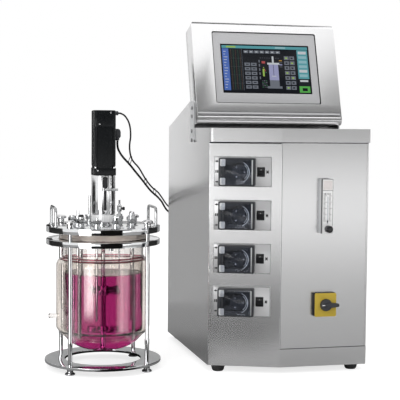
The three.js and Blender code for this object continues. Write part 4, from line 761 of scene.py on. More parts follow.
# ---------------------------------------------------------------- pumps
PUMP_NAMES = [f"pump_{i}" for i in range(1, 5)]
HEAD_START, HEAD_WIDTH, HEAD_HEIGHT = 0.0305, 0.104, 0.0795
HEAD_BACK, HEAD_FACE = -0.0023, -0.0363
ROTOR_AT, TRACK_RADIUS, TRACK_FLOOR = 0.089, 0.029, -0.0123
COVER_START, COVER_END, COVER_HALF = 0.040, 0.126, 0.035
COVER_BACK, COVER_FACE = -0.0366, -0.0426
SWITCH_AT = 0.1493
SHOE_RADIUS = 0.0250


def pump_head(name, place):
    """The moulded block with its horseshoe track, two tube clips, a raised track lip and light arcs of painted
    highlight round the rotor.
    """
    half = HEAD_HEIGHT / 2
    block = prism(
        name + "_block", rectangle(HEAD_START, HEAD_START + HEAD_WIDTH, -half, half, 0.004), HEAD_FACE, HEAD_BACK,
        place @ FACING, 0.0012,
    )
    track = horseshoe(TRACK_RADIUS, HEAD_START + 0.014)
    pocket = prism(name + "_pocket", track, HEAD_FACE - 0.01, TRACK_FLOOR, place @ FACING)
    carve(block, pocket)
    dress(block, moulded, replaces=[name + "_head"])
    shoe(name + "_shoe", TRACK_RADIUS + 0.0002, SHOE_RADIUS, TRACK_FLOOR, HEAD_FACE + 0.0040, place, moulded)
    crescent(name + "_highlight_crescent", place)
    for label, side in (("upper", 1), ("lower", -1)):
        centre = side * 0.0265
        outline = rectangle(HEAD_START + 0.0045, HEAD_START + 0.0200, centre - 0.0100, centre + 0.0100, 0.003)
        clip = prism(f"{name}_clip_{label}", outline, HEAD_FACE - 0.0012, HEAD_FACE + 0.004, place @ FACING, 0.0010)
        dress(clip, clip_clear)
    pump_plate(name, place)


HIGHLIGHT_ARC_RADIUS = 0.0238  # radius of the thin painted highlight arc round the rotor


def crescent(name, place):
    """Two light arcs of painted highlight round the rotor: a crescent that is broad at the right, and a thin one inside
    it.
    """
    outer = arc(ROTOR_AT, 0, 0.0300, 0.0300, -66, 66, 32)
    inner = arc(ROTOR_AT - 0.0016, 0, 0.0293, 0.0295, 66, -66, 32)
    band = prism(name, outer + inner, HEAD_FACE - 0.0002, HEAD_FACE + 0.0030, place @ FACING)
    dress(band, highlight_grey)
    # A thin light rod along the rollers' path: a painted highlight line.
    highlight_path = arc(ROTOR_AT, 0, HIGHLIGHT_ARC_RADIUS, HIGHLIGHT_ARC_RADIUS, -52, 52, 20)
    line = [place @ Vector((x, HEAD_FACE + 0.0026, z)) for x, z in highlight_path]
    dress(rod(name + "_highlight_line", line, 0.0008, 12), highlight_grey)


def pump_plate(name, place):
    """The mounting plate with a black rocker frame let into it."""
    half = 0.0865 / 2
    plate = prism(name + "_plate", rectangle(0.014, 0.180, -half, half, 0.0015), HEAD_BACK, -0.0003, place @ FACING,
        0.0004)
    dress(plate, plate_steel)
    w, h = 0.0225 / 2, 0.0277 / 2
    outer = rectangle(SWITCH_AT - w, SWITCH_AT + w, -h, h, 0.0018)
    inner = rectangle(SWITCH_AT - w + 0.0026, SWITCH_AT + w - 0.0026, 0.0026 - h, h - 0.0026, 0.001)
    frame_piece = prism(name + "_switch_frame", outer, HEAD_BACK - 0.0025, HEAD_BACK + 0.0002, place @ FACING, 0.0006)
    well = prism("well", inner, HEAD_BACK - 0.01, HEAD_BACK - 0.0002, place @ FACING)
    dress(carve(frame_piece, well), gloss_black)


def shoe(name, outer_radius, inner_radius, back, front, place, material):
    """A horseshoe wall that the tube is pressed against."""
    outer, inner = (horseshoe(radius, HEAD_START + 0.020) for radius in (outer_radius, inner_radius))
    bm = bmesh.new()
    loops = [[bm.verts.new((x, y, z)) for x, y in loop] for loop,
        z in ((outer, back), (outer, front), (inner, front), (inner, back))]
    for a, b in zip(loops, loops[1:] + loops[:1]):
        for i in range(len(a) - 1):
            bm.faces.new((a[i], a[i + 1], b[i + 1], b[i]))
    for end in (0, -1):
        bm.faces.new([loop[end] for loop in loops])
    dress(from_bmesh(name, bm, place @ FACING), material)


def horseshoe(radius, end):
    return [(end, -radius), *arc(ROTOR_AT, 0, radius, radius, -90, 90, 24), (end, radius)]


def pump_rotor(name, place):
    """Three rollers between two round plates on the drive axle."""
    spin = place @ Matrix.Translation((ROTOR_AT, 0, 0)) @ FACING
    bm = bmesh.new()
    nose, seat = HEAD_FACE + 0.004, TRACK_FLOOR - 0.0003
    for z0 in (nose, seat - 0.003):
        turned_mesh(bm, eased([(0, z0), (0.0215, z0), (0.0215, z0 + 0.003), (0, z0 + 0.003)], 0.0006, False), spin,
            48)
    turned_mesh(bm, [(0, nose - 0.002), (0.0055, nose - 0.002), (0.0055, seat), (0, seat)], spin, 32)
    dress(from_bmesh(name + "_carrier", bm), rotor_grey, name + "_rotor", [name + "_rotor"])
    bm = bmesh.new()
    for turn in range(3):
        spot = Matrix.Translation((0.015 * math.cos(turn * 2.0944), 0.015 * math.sin(turn * 2.0944), 0))
        profile = eased([(0, nose + 0.001), (0.007, nose + 0.001), (0.007, seat - 0.001), (0, seat - 0.001)], 0.001,
            False)
        turned_mesh(bm, profile, spin @ spot, 24)
        turned_mesh(bm, [(0, nose - 0.0005), (0.002, nose - 0.0005), (0.002, nose + 0.002), (0, nose + 0.002)],
            spin @ spot, 12)
    dress(from_bmesh(name + "_rollers", bm), roller_steel, name + "_rotor")


def pump_cover(name, place):
    """The smoked flap, its hinge barrel and its finger lip."""
    outline = rectangle(COVER_START, COVER_END - 0.0005, -COVER_HALF, COVER_HALF, 0.004)
    flap = prism(name + "_window", outline, COVER_FACE, COVER_BACK, place @ FACING, 0.0012)
    dress(flap, smoked, name + "_cover", [name + "_cover"])
    barrel = prism(
        name + "_hinge_strip",
        rectangle(COVER_END - 0.0008, COVER_END + 0.0027, -COVER_HALF, COVER_HALF, 0.001),
        COVER_FACE + 0.0004, COVER_BACK - 0.0004, place @ FACING, 0.0011,
    )
    dress(barrel, aluminium, name + "_cover")
    lip = prism(
        name + "_finger_lip", rectangle(COVER_START + 0.003, COVER_START + 0.007, -0.014, 0.014, 0.0015),
        COVER_FACE - 0.002, COVER_FACE + 0.001, place @ FACING, 0.0008,
    )
    dress(lip, moulded, name + "_cover")


def pump_switch(name, place):
    """The rocker with a raised crest and a small light mark on its upper half."""
    tilt = place @ Matrix.Translation((SWITCH_AT, -0.0023, 0)) @ Matrix.Rotation(math.radians(7), 4, "X")
    profile = [(-0.0015, -0.0100), (-0.0050, -0.0050), (-0.0047, 0), (-0.0050, 0.0050), (-0.0015, 0.0100),
        (0.0030, 0.0095),
               (0.0012, 0), (0.0030, -0.0095)]
    rocker = prism(name + "_rocker_look", eased(profile, 0.0012), -0.008, 0.008, tilt @ SIDEWAYS, 0.0006)
    dress(rocker, gloss_black, name + "_rocker", [name + "_rocker"])
    mark = prism(
        name + "_rocker_mark", rectangle(-0.0004, 0.0004, 0.0045, 0.0080), -0.0046, -0.0036, tilt @ FACING)
    dress(mark, white_print, name + "_rocker")


def pump_marks(name, place):
    """Dark lines along the plate's rim as painted shade of its edge, three small printed signs at its left and the
    round lamp's surround.
    """
    bm = bmesh.new()
    left, right, half, line = 0.0150, 0.1790, 0.0424, 0.0008
    # Dark lines along the plate's rim: painted shade of its edge.
    for x0, x1, y0, y1 in ((left, right, half - line, half), (left, right, -half, line - half),
                           (left, left + line, -half, half), (right - line, right, -half, half)):
        prism_mesh(bm, rectangle(x0, x1, y0, y1), -0.0024, -0.0021, place @ FACING)
    for x0, x1, y0, y1 in ((0.0180, 0.0262, 0.0278, 0.0312), (0.0212, 0.0242, 0.0264, 0.0326),
                           (0.0180, 0.0216, -0.0040, 0.0042), (0.0228, 0.0264, -0.0040, 0.0042),
                           (0.0182, 0.0262, -0.0312, -0.0280), (0.0222, 0.0250, -0.0322, -0.0270)):
        prism_mesh(bm, rectangle(x0, x1, y0, y1, 0.0008, 2), -0.0024, -0.0021, place @ FACING)
    for x0, x1 in ((0.1642, 0.1658), (0.1694, 0.1710)):
        prism_mesh(bm, rectangle(x0, x1, -0.0052, 0.0052, 0.0004, 2), -0.0024, -0.0021, place @ FACING)
    dress(from_bmesh(name + "_print", bm), black_print)
    bm = bmesh.new()
    lamp = place @ Matrix.Translation((0.1676, 0, 0)) @ FACING
    turned_mesh(bm, eased([(0, -0.0042), (0.0026, -0.0042), (0.0032, -0.0032), (0.0032, -0.0021), (0, -0.0021)],
        0.0006, False), lamp, 24)
    dress(from_bmesh(name + "_lamp", bm), gloss_black)


for pump in PUMP_NAMES:
    height = middle(pump + "_head").z
    place = FACET @ Matrix.Translation((0, 0, height))
    pump_head(pump, place)
    pump_rotor(pump, place)
    pump_cover(pump, place)
    pump_switch(pump, place)
    pump_marks(pump, place)


# ---------------------------------------------------------------- flow meter and main switch
def flow_meter():
    """A grey-backed block over a white scale, with ticks, a bore and its float, dark side strips and a round knob."""
    low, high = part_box("flow_meter_body")
    face = high.y - 0.022
    x0, x1, z0, z1 = low.x, high.x, low.z, high.z
    centre = (x0 + x1) / 2
    block = prism("meter_block", rectangle(x0, x1, z0, z1, 0.002), face + 0.0085, high.y, FACING, 0.0008)
    dress(block, meter_back, replaces=["flow_meter_body"])
    strip = prism("meter_strip", rectangle(x0, x1, z0, z1, 0.002), face + 0.0013, face + 0.0086, FACING, 0.0004)
    dress(strip, meter_side)
    label = prism("meter_label_field", rectangle(x0 + 0.003, x1 - 0.003, z1 - 0.031, z1 - 0.004, 0.001),
        face - 0.0002, face + 0.0003, FACING)
    dress(label, meter_label)
    front = prism("meter_front", rectangle(x0 + 0.0005, x1 - 0.0005, z0 + 0.0005, z1 - 0.0005, 0.0018), face,
        face + 0.0012, FACING, 0.0005)
    dress(front, white_print)
    bm = bmesh.new()
    skin = face - 0.0002, face + 0.0003
    for bar0, bar1, bottom, top in ((x0 + 0.0005, x1 - 0.0005, z1 - 0.0340, z1 - 0.0326),
        (x0 + 0.0005, x0 + 0.0015, z0 + 0.002, z1 - 0.002),
                                    (x1 - 0.0015, x1 - 0.0005, z0 + 0.002, z1 - 0.002),
                                    (x0 + 0.001, x1 - 0.001, z1 - 0.0018, z1 - 0.0008)):
        prism_mesh(bm, rectangle(bar0, bar1, bottom, top), *skin, FACING)
    for tick in range(23):
        height = z0 + 0.036 + tick * 0.0036
        wide = tick % 5 == 0
        for start, width in ((centre - 0.0125, 0.0095 if wide else 0.0060),
            (centre + 0.0045, 0.0075 if wide else 0.0045)):
            prism_mesh(bm, rectangle(start, start + width, height, height + 0.0013), *skin, FACING)
    for bar in range(3):
        prism_mesh(bm, rectangle(centre - 0.007 + bar * 0.004, centre - 0.0055 + bar * 0.004, z1 - 0.046,
            z1 - 0.040), *skin, FACING)
    dress(from_bmesh("meter_scale", bm), meter_ink)
    groove = prism("meter_bore", rectangle(centre - 0.0014, centre + 0.0026, z0 + 0.028, z1 - 0.050, 0.0014),
        face - 0.0004, face + 0.0006, FACING, 0.0002)
    dress(groove, meter_bore)
    float_place = Matrix.Translation((centre + 0.0006, face - 0.0004, 0))
    dress(turned("meter_float", [(0, z0 + 0.031), (0.0012, z0 + 0.032), (0.0019, z0 + 0.038), (0, z0 + 0.0385)],
        sides=24, place=float_place), gloss_black)
    knob_low, knob_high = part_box("flow_meter_knob")
    knob_centre = (knob_low + knob_high) / 2
    length = knob_high.y - knob_low.y
    place = Matrix.Translation((knob_centre.x, knob_low.y, knob_centre.z)) @ FACING
    shape = eased([(0, 0.0004), (0.0055, 0.0002), (0.0092, 0.0016), (0.0100, 0.0040), (0.0100, length),
        (0, length)], 0.0010, False)
    knob = bmesh.new()
    turned_mesh(knob, shape, place, 48)
    for flute in range(24):
        spot = place @ Matrix.Rotation(flute * math.pi / 12, 4, "Z")
        prism_mesh(knob, rectangle(0.0098, 0.0103, -0.0006, 0.0006), 0.0035, length - 0.0004, spot)
    dress(from_bmesh("meter_knob", knob), gloss_black, "flow_knob", ["flow_meter_knob"])
    stem_place = Matrix.Translation((knob_centre.x, 0, knob_centre.z)) @ FACING
    stem = turned("meter_stem",
        [(0, face - 0.0035), (0.006, face - 0.0035), (0.006, face + 0.001), (0, face + 0.001)], sides=24,
        place=stem_place)
    dress(stem, polished)


def main_switch():
    """A yellow front on a black base, with a round boss and a lever whose pointer is white."""
    low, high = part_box("main_switch_plate")
    x, z = (low.x + high.x) / 2, (low.z + high.z) / 2
    outline = rectangle(low.x, high.x, low.z, high.z, 0.003)
    base = prism("switch_base", outline, low.y + 0.0035, high.y, FACING, 0.0006)
    dress(base, jacket_black, replaces=["main_switch_plate"])
    front = prism("switch_front", outline, low.y, low.y + 0.0035, FACING, 0.0008)
    dress(front, yellow)
    place = Matrix.Translation((x, 0, z)) @ FACING
    back = low.y - 0.0003
    collar = [(0, back), (0.0178, back), (0.0178, back - 0.004), (0.0160, back - 0.011), (0, back - 0.011)]
    boss = turned("switch_boss", eased(collar, 0.0015, False), sides=64, place=place)
    lever = prism("switch_lever",
        eased([(-0.004, -0.0065), (0.020, -0.0062), (0.0365, -0.0048), (0.0365, 0.0048), (0.020, 0.0062),
        (-0.004, 0.0065)], 0.003),
                  back - 0.0158, back - 0.002, place, 0.0018)
    pointer = prism("switch_pointer", rectangle(-0.0135, -0.005, -0.0011, 0.0011, 0.0004), back - 0.0112,
        back - 0.0105, place)
    dress(boss, moulded, "main_switch", ["main_switch_handle"])
    dress(lever, moulded, "main_switch")
    dress(pointer, white_print, "main_switch")


flow_meter()
main_switch()


# ---------------------------------------------------------------- stand
RING_BORE, CLAMP_BORE, CLAMP_DEPTH = 0.112, 0.120, 0.0155
SCREW_CIRCLE = 0.146  # where the clamp ring's four screws lie


def stand():
    """The base ring, the clamp ring with its four screws, and the four pillars."""
    ring_low, ring_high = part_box("base_ring")
    outer = extent("base_ring").x / 2
    profile = eased([(outer, ring_low.z), (outer, ring_high.z), (RING_BORE, ring_high.z), (RING_BORE, ring_low.z)],
        0.0012)
    dress(shade(turned("ring_look", profile, sides=128), 12), polished, replaces=["base_ring"])
    clamp_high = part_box("clamp_ring")[1]
    outer = extent("clamp_ring").x / 2
    bottom = clamp_high.z - CLAMP_DEPTH
    profile = eased([(outer, bottom), (outer, clamp_high.z), (CLAMP_BORE, clamp_high.z), (CLAMP_BORE, bottom)],
        0.0015)
    ring = turned("clamp_look", profile, sides=128)
    dress(shade(ring, 12), polished, replaces=["clamp_ring"])
    for i in range(4):
        x, y = SCREW_CIRCLE * math.cos(i * math.pi / 2), SCREW_CIRCLE * math.sin(i * math.pi / 2)
        screw = eased([(0, bottom - 0.007), (0.0062, bottom - 0.007), (0.0062, bottom), (0, bottom)], 0.001, False)
        dress(turned(f"clamp_screw_{i + 1}", screw, AXIS + Vector((x, y)), 24), foot_steel)
    for corner in PILLARS:
        pillar(corner, ring_low.z)


def pillar(corner, ring_bottom):
    """A polished rod with a levelling foot, lock nuts, a sleeve and a mushroom hand nut."""
    node = f"stand_pillar_{corner}"
    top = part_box(node)[1].z
    nut = PLATE_TOP
    spot = middle(node).to_2d()
    foot_profile = [
        (0, 0), (0.0112, 0), (0.0142, 0.0012), (0.0148, 0.0040), (0.0132, 0.0068), (0.0092, 0.0084), (0.0086, 0.0122),
        (0.0090, 0.0128), (0.0090, ring_bottom - 0.0003), (0, ring_bottom - 0.0003),
    ]
    dress(turned(f"pillar_foot_{corner}", eased(foot_profile, 0.0007, False), spot, 40), foot_steel)
    rod_profile = [
        (0, ring_bottom - 0.001), (0.006, ring_bottom - 0.001), (0.006, 0.080), (0.0069, 0.0805), (0.0069, 0.0965),
        (0.006, 0.097),
        (0.006, nut), (0.0098, nut), (0.0098, nut + 0.010), (0.0080, nut + 0.0108), (0.0155, nut + 0.0120),
        (0.0163, nut + 0.0145), (0.0155, nut + 0.0185), (0.0110, top - 0.0008), (0.004, top), (0, top),
    ]
    rod_piece = turned(f"pillar_{corner}", eased(rod_profile, 0.0007, False), spot, 40)
    dress(rod_piece, pillar_steel, replaces=[node])


stand()


# ---------------------------------------------------------------- head plate and its fittings
PORTS = {
    "thermowell": (-109, 0.098), "exhaust": (106, 0.098), "plugged": (150, 0.098), "feed": (25, 0.098),
    "ph": (-139, 0.098), "oxygen": (-42, 0.098), "inoculation": (-76, 0.096), "sampling": (51, 0.096),
    "sparger": (-165, 0.080),
}
NECK_RADIUS, UNION_RADIUS = 0.0095, 0.0125
UNION_TOP = PLATE_TOP + 0.0207


def port(name):
    angle, radius = PORTS[name]
    turn = math.radians(angle)
    return AXIS + Vector((radius * math.cos(turn), radius * math.sin(turn)))


def hexagon(radius, z0, z1, at, bm):
    outline = [(radius * math.cos(i * math.pi / 3), radius * math.sin(i * math.pi / 3)) for i in range(6)]
    prism_mesh(bm, outline, z0, z1, Matrix.Translation((at[0], at[1], 0)), 0.0008)


def head_plate():
    outer = extent("clamp_ring").x / 2
    low, high = PLATE_BOTTOM + 0.0003, PLATE_TOP - 0.0003
    plate = turned("head_look", eased([(0, low), (outer, low), (outer, high), (0, high)], 0.0007, False), sides=128)
    dress(shade(plate, 12), polished, replaces=["head_plate"])
    bm = bmesh.new()
    for name in PORTS:
        at = port(name)
        spot = Matrix.Translation((at[0], at[1], 0))
        neck = [(0, high), (0.0115, high), (0.0115, high + 0.0015), (NECK_RADIUS, high + 0.003),
            (NECK_RADIUS, high + 0.010), (0, high + 0.010)]
        turned_mesh(bm, neck, spot, 32)
        hexagon(UNION_RADIUS, high + 0.0095, UNION_TOP, at, bm)
    dress(from_bmesh("port_unions", bm), turned_steel)
    boss = eased([(0, high), (0.026, high), (0.026, high + 0.003), (0, high + 0.003)], 0.0008, False)
    dress(turned("drive_boss", boss, sides=64), polished)
    tubes = {
        "thermowell_tube": ("thermowell", 0.003, 0.150, high, 0.006, 0.006),
        "exhaust_tube": ("exhaust", 0.0035, UNION_TOP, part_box("head_plate")[1].z, 0.014, 0.003),
        "feed_tube": ("feed", 0.003, UNION_TOP, high + 0.0374, 0.0085, 0.003),
        "port_plug": ("plugged", 0.003, UNION_TOP, UNION_TOP + 0.006, 0.009, 0.004),
    }
    for name, (where, radius, bottom, top, cap, cap_height) in tubes.items():
        bm = bmesh.new()
        at = port(where)
        spot = Matrix.Translation((at[0], at[1], 0))
        turned_mesh(bm, eased([(0, bottom), (radius, bottom), (radius, top), (0, top)], 0.0008, False), spot, 24)
        cap_profile = [(0, UNION_TOP - 0.001), (cap, UNION_TOP - 0.001), (cap, UNION_TOP + cap_height),
            (0, UNION_TOP + cap_height)]
        turned_mesh(bm, eased(cap_profile, 0.0008, False), spot, 32)
        dress(from_bmesh(name, bm), polished)
    gasket_low, gasket_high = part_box("head_gasket")
    ring = eased([(0.126, gasket_low.z), (0.126, gasket_high.z), (0.114, gasket_high.z), (0.114, gasket_low.z)],
        0.0008)
    dress(turned("seal_ring", ring, sides=96), seal, replaces=["head_gasket"])


def lift_handle(side, node):
    low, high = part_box(node)
    x = (low.x + high.x) / 2
    radius = 0.004
    near, far = low.y + 0.007, high.y - 0.007
    top = high.z - radius
    corners = [(near, low.z), (near, top), (far, top), (far, low.z)]
    line = eased(corners, 0.016, closed=False, steps=10)
    bar = rod(f"handle_{side}_bar", [(x, y, z) for y, z in line], radius, 24)
    collars = bmesh.new()
    for y in (near, far):
        spot = Matrix.Translation((x, y, low.z))
        turned_mesh(collars, eased([(0, 0), (0.0068, 0), (0.0068, 0.003), (0, 0.003)], 0.0008, False), spot, 32)
    feet = from_bmesh(f"handle_{side}_feet", collars)
    dress(bar, handle_steel, replaces=[node])
    dress(feet, handle_steel)


head_plate()
lift_handle("left", "lift_handle_left")
lift_handle("right", "lift_handle_right")


# ---------------------------------------------------------------- glass and liquid
GLASS_RADIUS, GLASS_WALL = 0.117, 0.004
JACKET_RADIUS, JACKET_WALL = 0.1375, 0.003
DISH_RIM, DISH_DEPTH = 0.110, 0.061
WELD_HEIGHT, JACKET_TOP, LIQUID_LEVEL = 0.323, 0.300, 0.280


def dish(offset, steps=20):
    """The dished bottom from the axis out to its rim."""
    return arc(0, DISH_RIM, GLASS_RADIUS - offset, DISH_DEPTH - offset, -90, 0, steps)


def vessel_glass():
    """The flanged inner vessel with its dished bottom, welded inside a wider jacket with two hose nozzles."""
    flange_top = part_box("glass_vessel")[1].z
    neck_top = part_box("clamp_ring")[1].z + 0.0006
    inner = [
        *dish(0), (GLASS_RADIUS, WELD_HEIGHT), (0.118, WELD_HEIGHT + 0.005), (0.118, neck_top - 0.006),
        (0.120, neck_top - 0.001), (0.126, neck_top), (0.126, flange_top), (0.114, flange_top),
        (0.1135, WELD_HEIGHT + 0.004), (GLASS_RADIUS - GLASS_WALL, WELD_HEIGHT), *dish(GLASS_WALL)[::-1],
    ]
    dress(turned("inner_glass", inner, sides=128), glass, replaces=["glass_vessel"])
    joint = math.radians(-20)
    foot = ((GLASS_RADIUS + 0.0004) * math.cos(joint), DISH_RIM + (DISH_DEPTH + 0.0004) * math.sin(joint))
    outside = [
        foot, *eased([foot, (JACKET_RADIUS - 0.011, 0.105), (JACKET_RADIUS, 0.117), (JACKET_RADIUS, 0.130)], 0.008,
        False)[1:-1],
        *arc(JACKET_RADIUS - 0.0205, JACKET_TOP, 0.0205, WELD_HEIGHT - JACKET_TOP, 0, 80, 8),
        (GLASS_RADIUS + 0.0004, WELD_HEIGHT),
    ]
    inside = [
        *arc(JACKET_RADIUS - 0.0205, JACKET_TOP, 0.0175, WELD_HEIGHT - JACKET_TOP - 0.003, 75, 0, 8),
        *eased([(JACKET_RADIUS - JACKET_WALL, 0.130), (JACKET_RADIUS - JACKET_WALL, 0.118),
        (JACKET_RADIUS - 0.0135, 0.108),
                (foot[0] + 0.001, foot[1] + 0.005)], 0.008, False)[1:-1],
        (foot[0] + 0.0005, foot[1] + 0.004),
    ]
    dress(turned("jacket_glass", outside + inside, sides=128), jacket)
    for name, radius, height, thick in (("upper", 0.1185, WELD_HEIGHT + 0.0040, 0.0026),
        ("lower", 0.1235, WELD_HEIGHT - 0.0030, 0.0030)):
        bead = arc(radius, height, thick, thick, 0, 330, 11)
        dress(turned(f"weld_bead_{name}", bead, sides=96), weld_glass)
    for name, angle, height, reach in (("lower", 180, 0.154, 0.160), ("upper", 90, 0.285, 0.154)):
        turn = Matrix.Translation((AXIS.x, AXIS.y, height)) @ Matrix.Rotation(math.radians(angle), 4,
            "Z") @ Matrix.Rotation(math.pi / 2, 4, "Y")
        barrel = [(0.0065, JACKET_RADIUS - 0.001), (0.0065, reach - 0.008), (0.0078, reach - 0.006),
            (0.0078, reach - 0.004),
                  (0.0062, reach), (0.004, reach), (0.004, JACKET_RADIUS - 0.001)]
        dress(turned(f"{name}_nozzle", eased(barrel, 0.0006), sides=40, place=turn), glass)


def flange_cuff():
    """The tan sleeve round the glass flange, between the clamp ring and the head plate, with its split and two ribs."""
    low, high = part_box("clamp_ring")[1].z + 0.0008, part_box("head_gasket")[0].z - 0.0002
    outer, rib = 0.1278, 0.0010
    mid = (low + high) / 2
    profile = eased([(outer - 0.0012, low), (outer + rib, low + 0.0012), (outer, low + 0.0030),
        (outer, mid - 0.0008), (outer + rib, mid),
                     (outer, mid + 0.0008), (outer, high - 0.0030), (outer + rib, high - 0.0012),
                     (outer - 0.0012, high)], 0.0006)
    dress(turned("flange_cuff", profile, sides=128), cuff_silicone)


def liquid():
    """The magenta medium, with a small meniscus where it climbs the wall."""
    gap = GLASS_WALL - 0.0002
    wall = GLASS_RADIUS - gap
    profile = [*dish(gap), (wall, LIQUID_LEVEL + 0.0018), (wall - 0.0025, LIQUID_LEVEL + 0.0002),
        (wall - 0.007, LIQUID_LEVEL), (0, LIQUID_LEVEL)]
    dress(turned("medium_look", profile, sides=128), medium, replaces=["culture_medium"])


vessel_glass()
flange_cuff()
liquid()


# ---------------------------------------------------------------- stirrer, probes and tubes
def stirrer():
    low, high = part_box("agitator_shaft")
    coupling = [high.z - 0.0682, high.z - 0.0172]
    split = sum(coupling) / 2
    profile = [
        (0, low.z), (0.0045, low.z), (0.006, low.z + 0.0015), (0.006, coupling[0]), (0.015, coupling[0]),
        (0.015, split - 0.0015), (0.013, split - 0.0015), (0.013, split + 0.0015), (0.015, split + 0.0015),
        (0.015, coupling[1]), (0.006, coupling[1]), (0.006, high.z), (0, high.z),
    ]
    dress(turned("shaft_look", eased(profile, 0.0006, False), sides=40), polished, "agitator", ["agitator_shaft"])
    disc_turbine(middle("lower_impeller").z)
    pitched_impeller(middle("upper_impeller").z)


def disc_turbine(height):
    """A flat disc with six upright blades on a hub."""
    bm = bmesh.new()
    spot = Matrix.Translation((AXIS.x, AXIS.y, height))
    hub = eased([(0.0062, -0.010), (0.012, -0.010), (0.012, 0.010), (0.0062, 0.010)], 0.001)
    turned_mesh(bm, hub, spot, 40)
    turned_mesh(bm, [(0.0110, -0.00125), (0.029, -0.00125), (0.029, 0.00125), (0.0110, 0.00125)], spot, 48)
    for blade in range(6):
        turn = spot @ Matrix.Rotation((blade + 1 / 3) * math.pi / 3, 4, "Z") @ FACING
        prism_mesh(bm, rectangle(0.019, 0.0378, -0.010, 0.010, 0.001, 2), -0.00125, 0.00125, turn, 0.0003)
    dress(from_bmesh("turbine_look", bm), turned_steel, "agitator", ["lower_impeller"])


def pitched_impeller(height):
    """Three broad flat blades, each set at a pitch on the hub."""
    bm = bmesh.new()
    spot = Matrix.Translation((AXIS.x, AXIS.y, height))
    turned_mesh(bm, eased([(0.0062, -0.014), (0.012, -0.014), (0.012, 0.014), (0.0062, 0.014)], 0.001), spot, 40)
    for blade in range(3):
        turn = spot @ Matrix.Rotation((blade + 0.07) * 2 * math.pi / 3, 4, "Z") @ Matrix.Rotation(math.radians(52),
            4, "X")
        tip = arc(0.0, 0, 0.0375, 0.0375, -26, 26, 10)
        outline = eased([(0.0095, -0.009), *tip, (0.0095, 0.009)], 0.001, steps=2)
        prism_mesh(bm, outline, -0.00125, 0.00125, turn, 0.0004)
    dress(from_bmesh("propeller_look", bm), turned_steel, "agitator", ["upper_impeller"])


def probe(name, node, where, radius, head, material):
    low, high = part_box(node)
    seat = UNION_TOP + 0.0003
    profile = [
        (0, low.z), (radius - 0.002, low.z), (radius, low.z + 0.003), (radius, seat), (head, seat),
        (head, seat + 0.007),
        (head - 0.003, seat + 0.0085), (head - 0.003, high.z - 0.004), (head - 0.005, high.z), (0, high.z),
    ]
    dress(turned(name, eased(profile, 0.0008, False), port(where), 40), material, replaces=[node])


def tubes():
    probe("ph_sensor", "ph_probe", "ph", 0.006, 0.010, turned_steel)
    low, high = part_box("ph_probe")
    cap = [(0, high.z - 0.0105), (0.0078, high.z - 0.0105), (0.0078, high.z - 0.004), (0.006, high.z + 0.0004),
        (0, high.z + 0.0004)]
    dress(turned("ph_sensor_cap", eased(cap, 0.0008, False), port("ph"), 40), gloss_black)
    probe("oxygen_sensor", "oxygen_probe", "oxygen", 0.006, 0.011, turned_steel)
    low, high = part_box("inoculation_cap")
    seat = UNION_TOP + 0.0003
    cap = [(0, low.z), (0.0088, low.z), (0.0088, seat), (0.0115, seat), (0.0115, high.z - 0.002), (0.0095, high.z),
        (0, high.z)]
    dress(turned("septum_cap", eased(cap, 0.0008, False), port("inoculation"), 40), polished,
        replaces=["inoculation_cap"])
    low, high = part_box("sampling_tube")
    bm = bmesh.new()
    spot = Matrix.Translation((*port("sampling"), 0))
    turned_mesh(bm, eased([(0, low.z), (0.003, low.z), (0.003, high.z), (0, high.z)], 0.0005, False), spot, 24)
    valve = [(0, seat), (0.009, seat), (0.009, seat + 0.005), (0.004, seat + 0.006), (0.004, seat + 0.011),
        (0.007, seat + 0.0125),
             (0.007, seat + 0.0305), (0.0045, seat + 0.0315), (0.003, seat + 0.036), (0, seat + 0.036)]
    turned_mesh(bm, eased(valve, 0.0006, False), spot, 32)
    dress(from_bmesh("sampling_look", bm), polished, replaces=["sampling_tube"])
    low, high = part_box("sampling_valve_knob")
    centre = (low + high) / 2
    place = Matrix.Translation((low.x, centre.y, centre.z)) @ Matrix.Rotation(math.pi / 2, 4, "Y")
    knob = [(0, 0), (0.0035, 0), (0.0035, 0.002), (0.0053, 0.003), (0.0053, 0.0085), (0, 0.009)]
    dress(turned("valve_knob", eased(knob, 0.0006, False), sides=32, place=place), gloss_black, "sampling_knob",
        ["sampling_valve_knob"])
    sparger_pipe()


def sparger_pipe():
    """The gas tube bends at the foot into a ring under the lower impeller."""
    low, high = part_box("sparger")
    angle, radius = PORTS["sparger"]
    turn = math.radians(angle)
    outward = Vector((math.cos(turn), math.sin(turn), 0))
    centre = Vector((*AXIS, low.z + 0.004))
    ring = [centre + Matrix.Rotation(2 * math.pi * i / 48, 3, "Z") @ (outward * 0.030) for i in range(49)]
    pipe = eased([centre + outward * 0.030, centre + outward * radius, Vector((*port("sparger"), high.z - 0.0008))],
        0.012, False, 8)
    loop = rod("sparger_ring", ring, 0.0039, 20)
    drop = rod("sparger_drop", pipe, 0.0039, 20)
    collar_at = UNION_TOP + 0.0003
    collar = turned("sparger_collar",
        eased([(0, collar_at), (0.008, collar_at), (0.008, collar_at + 0.008), (0, collar_at + 0.008)], 0.0008,
        False), port("sparger"), 32)
    dress(merged("sparger_look", [loop, drop, collar]), polished, replaces=["sparger"])


stirrer()
tubes()


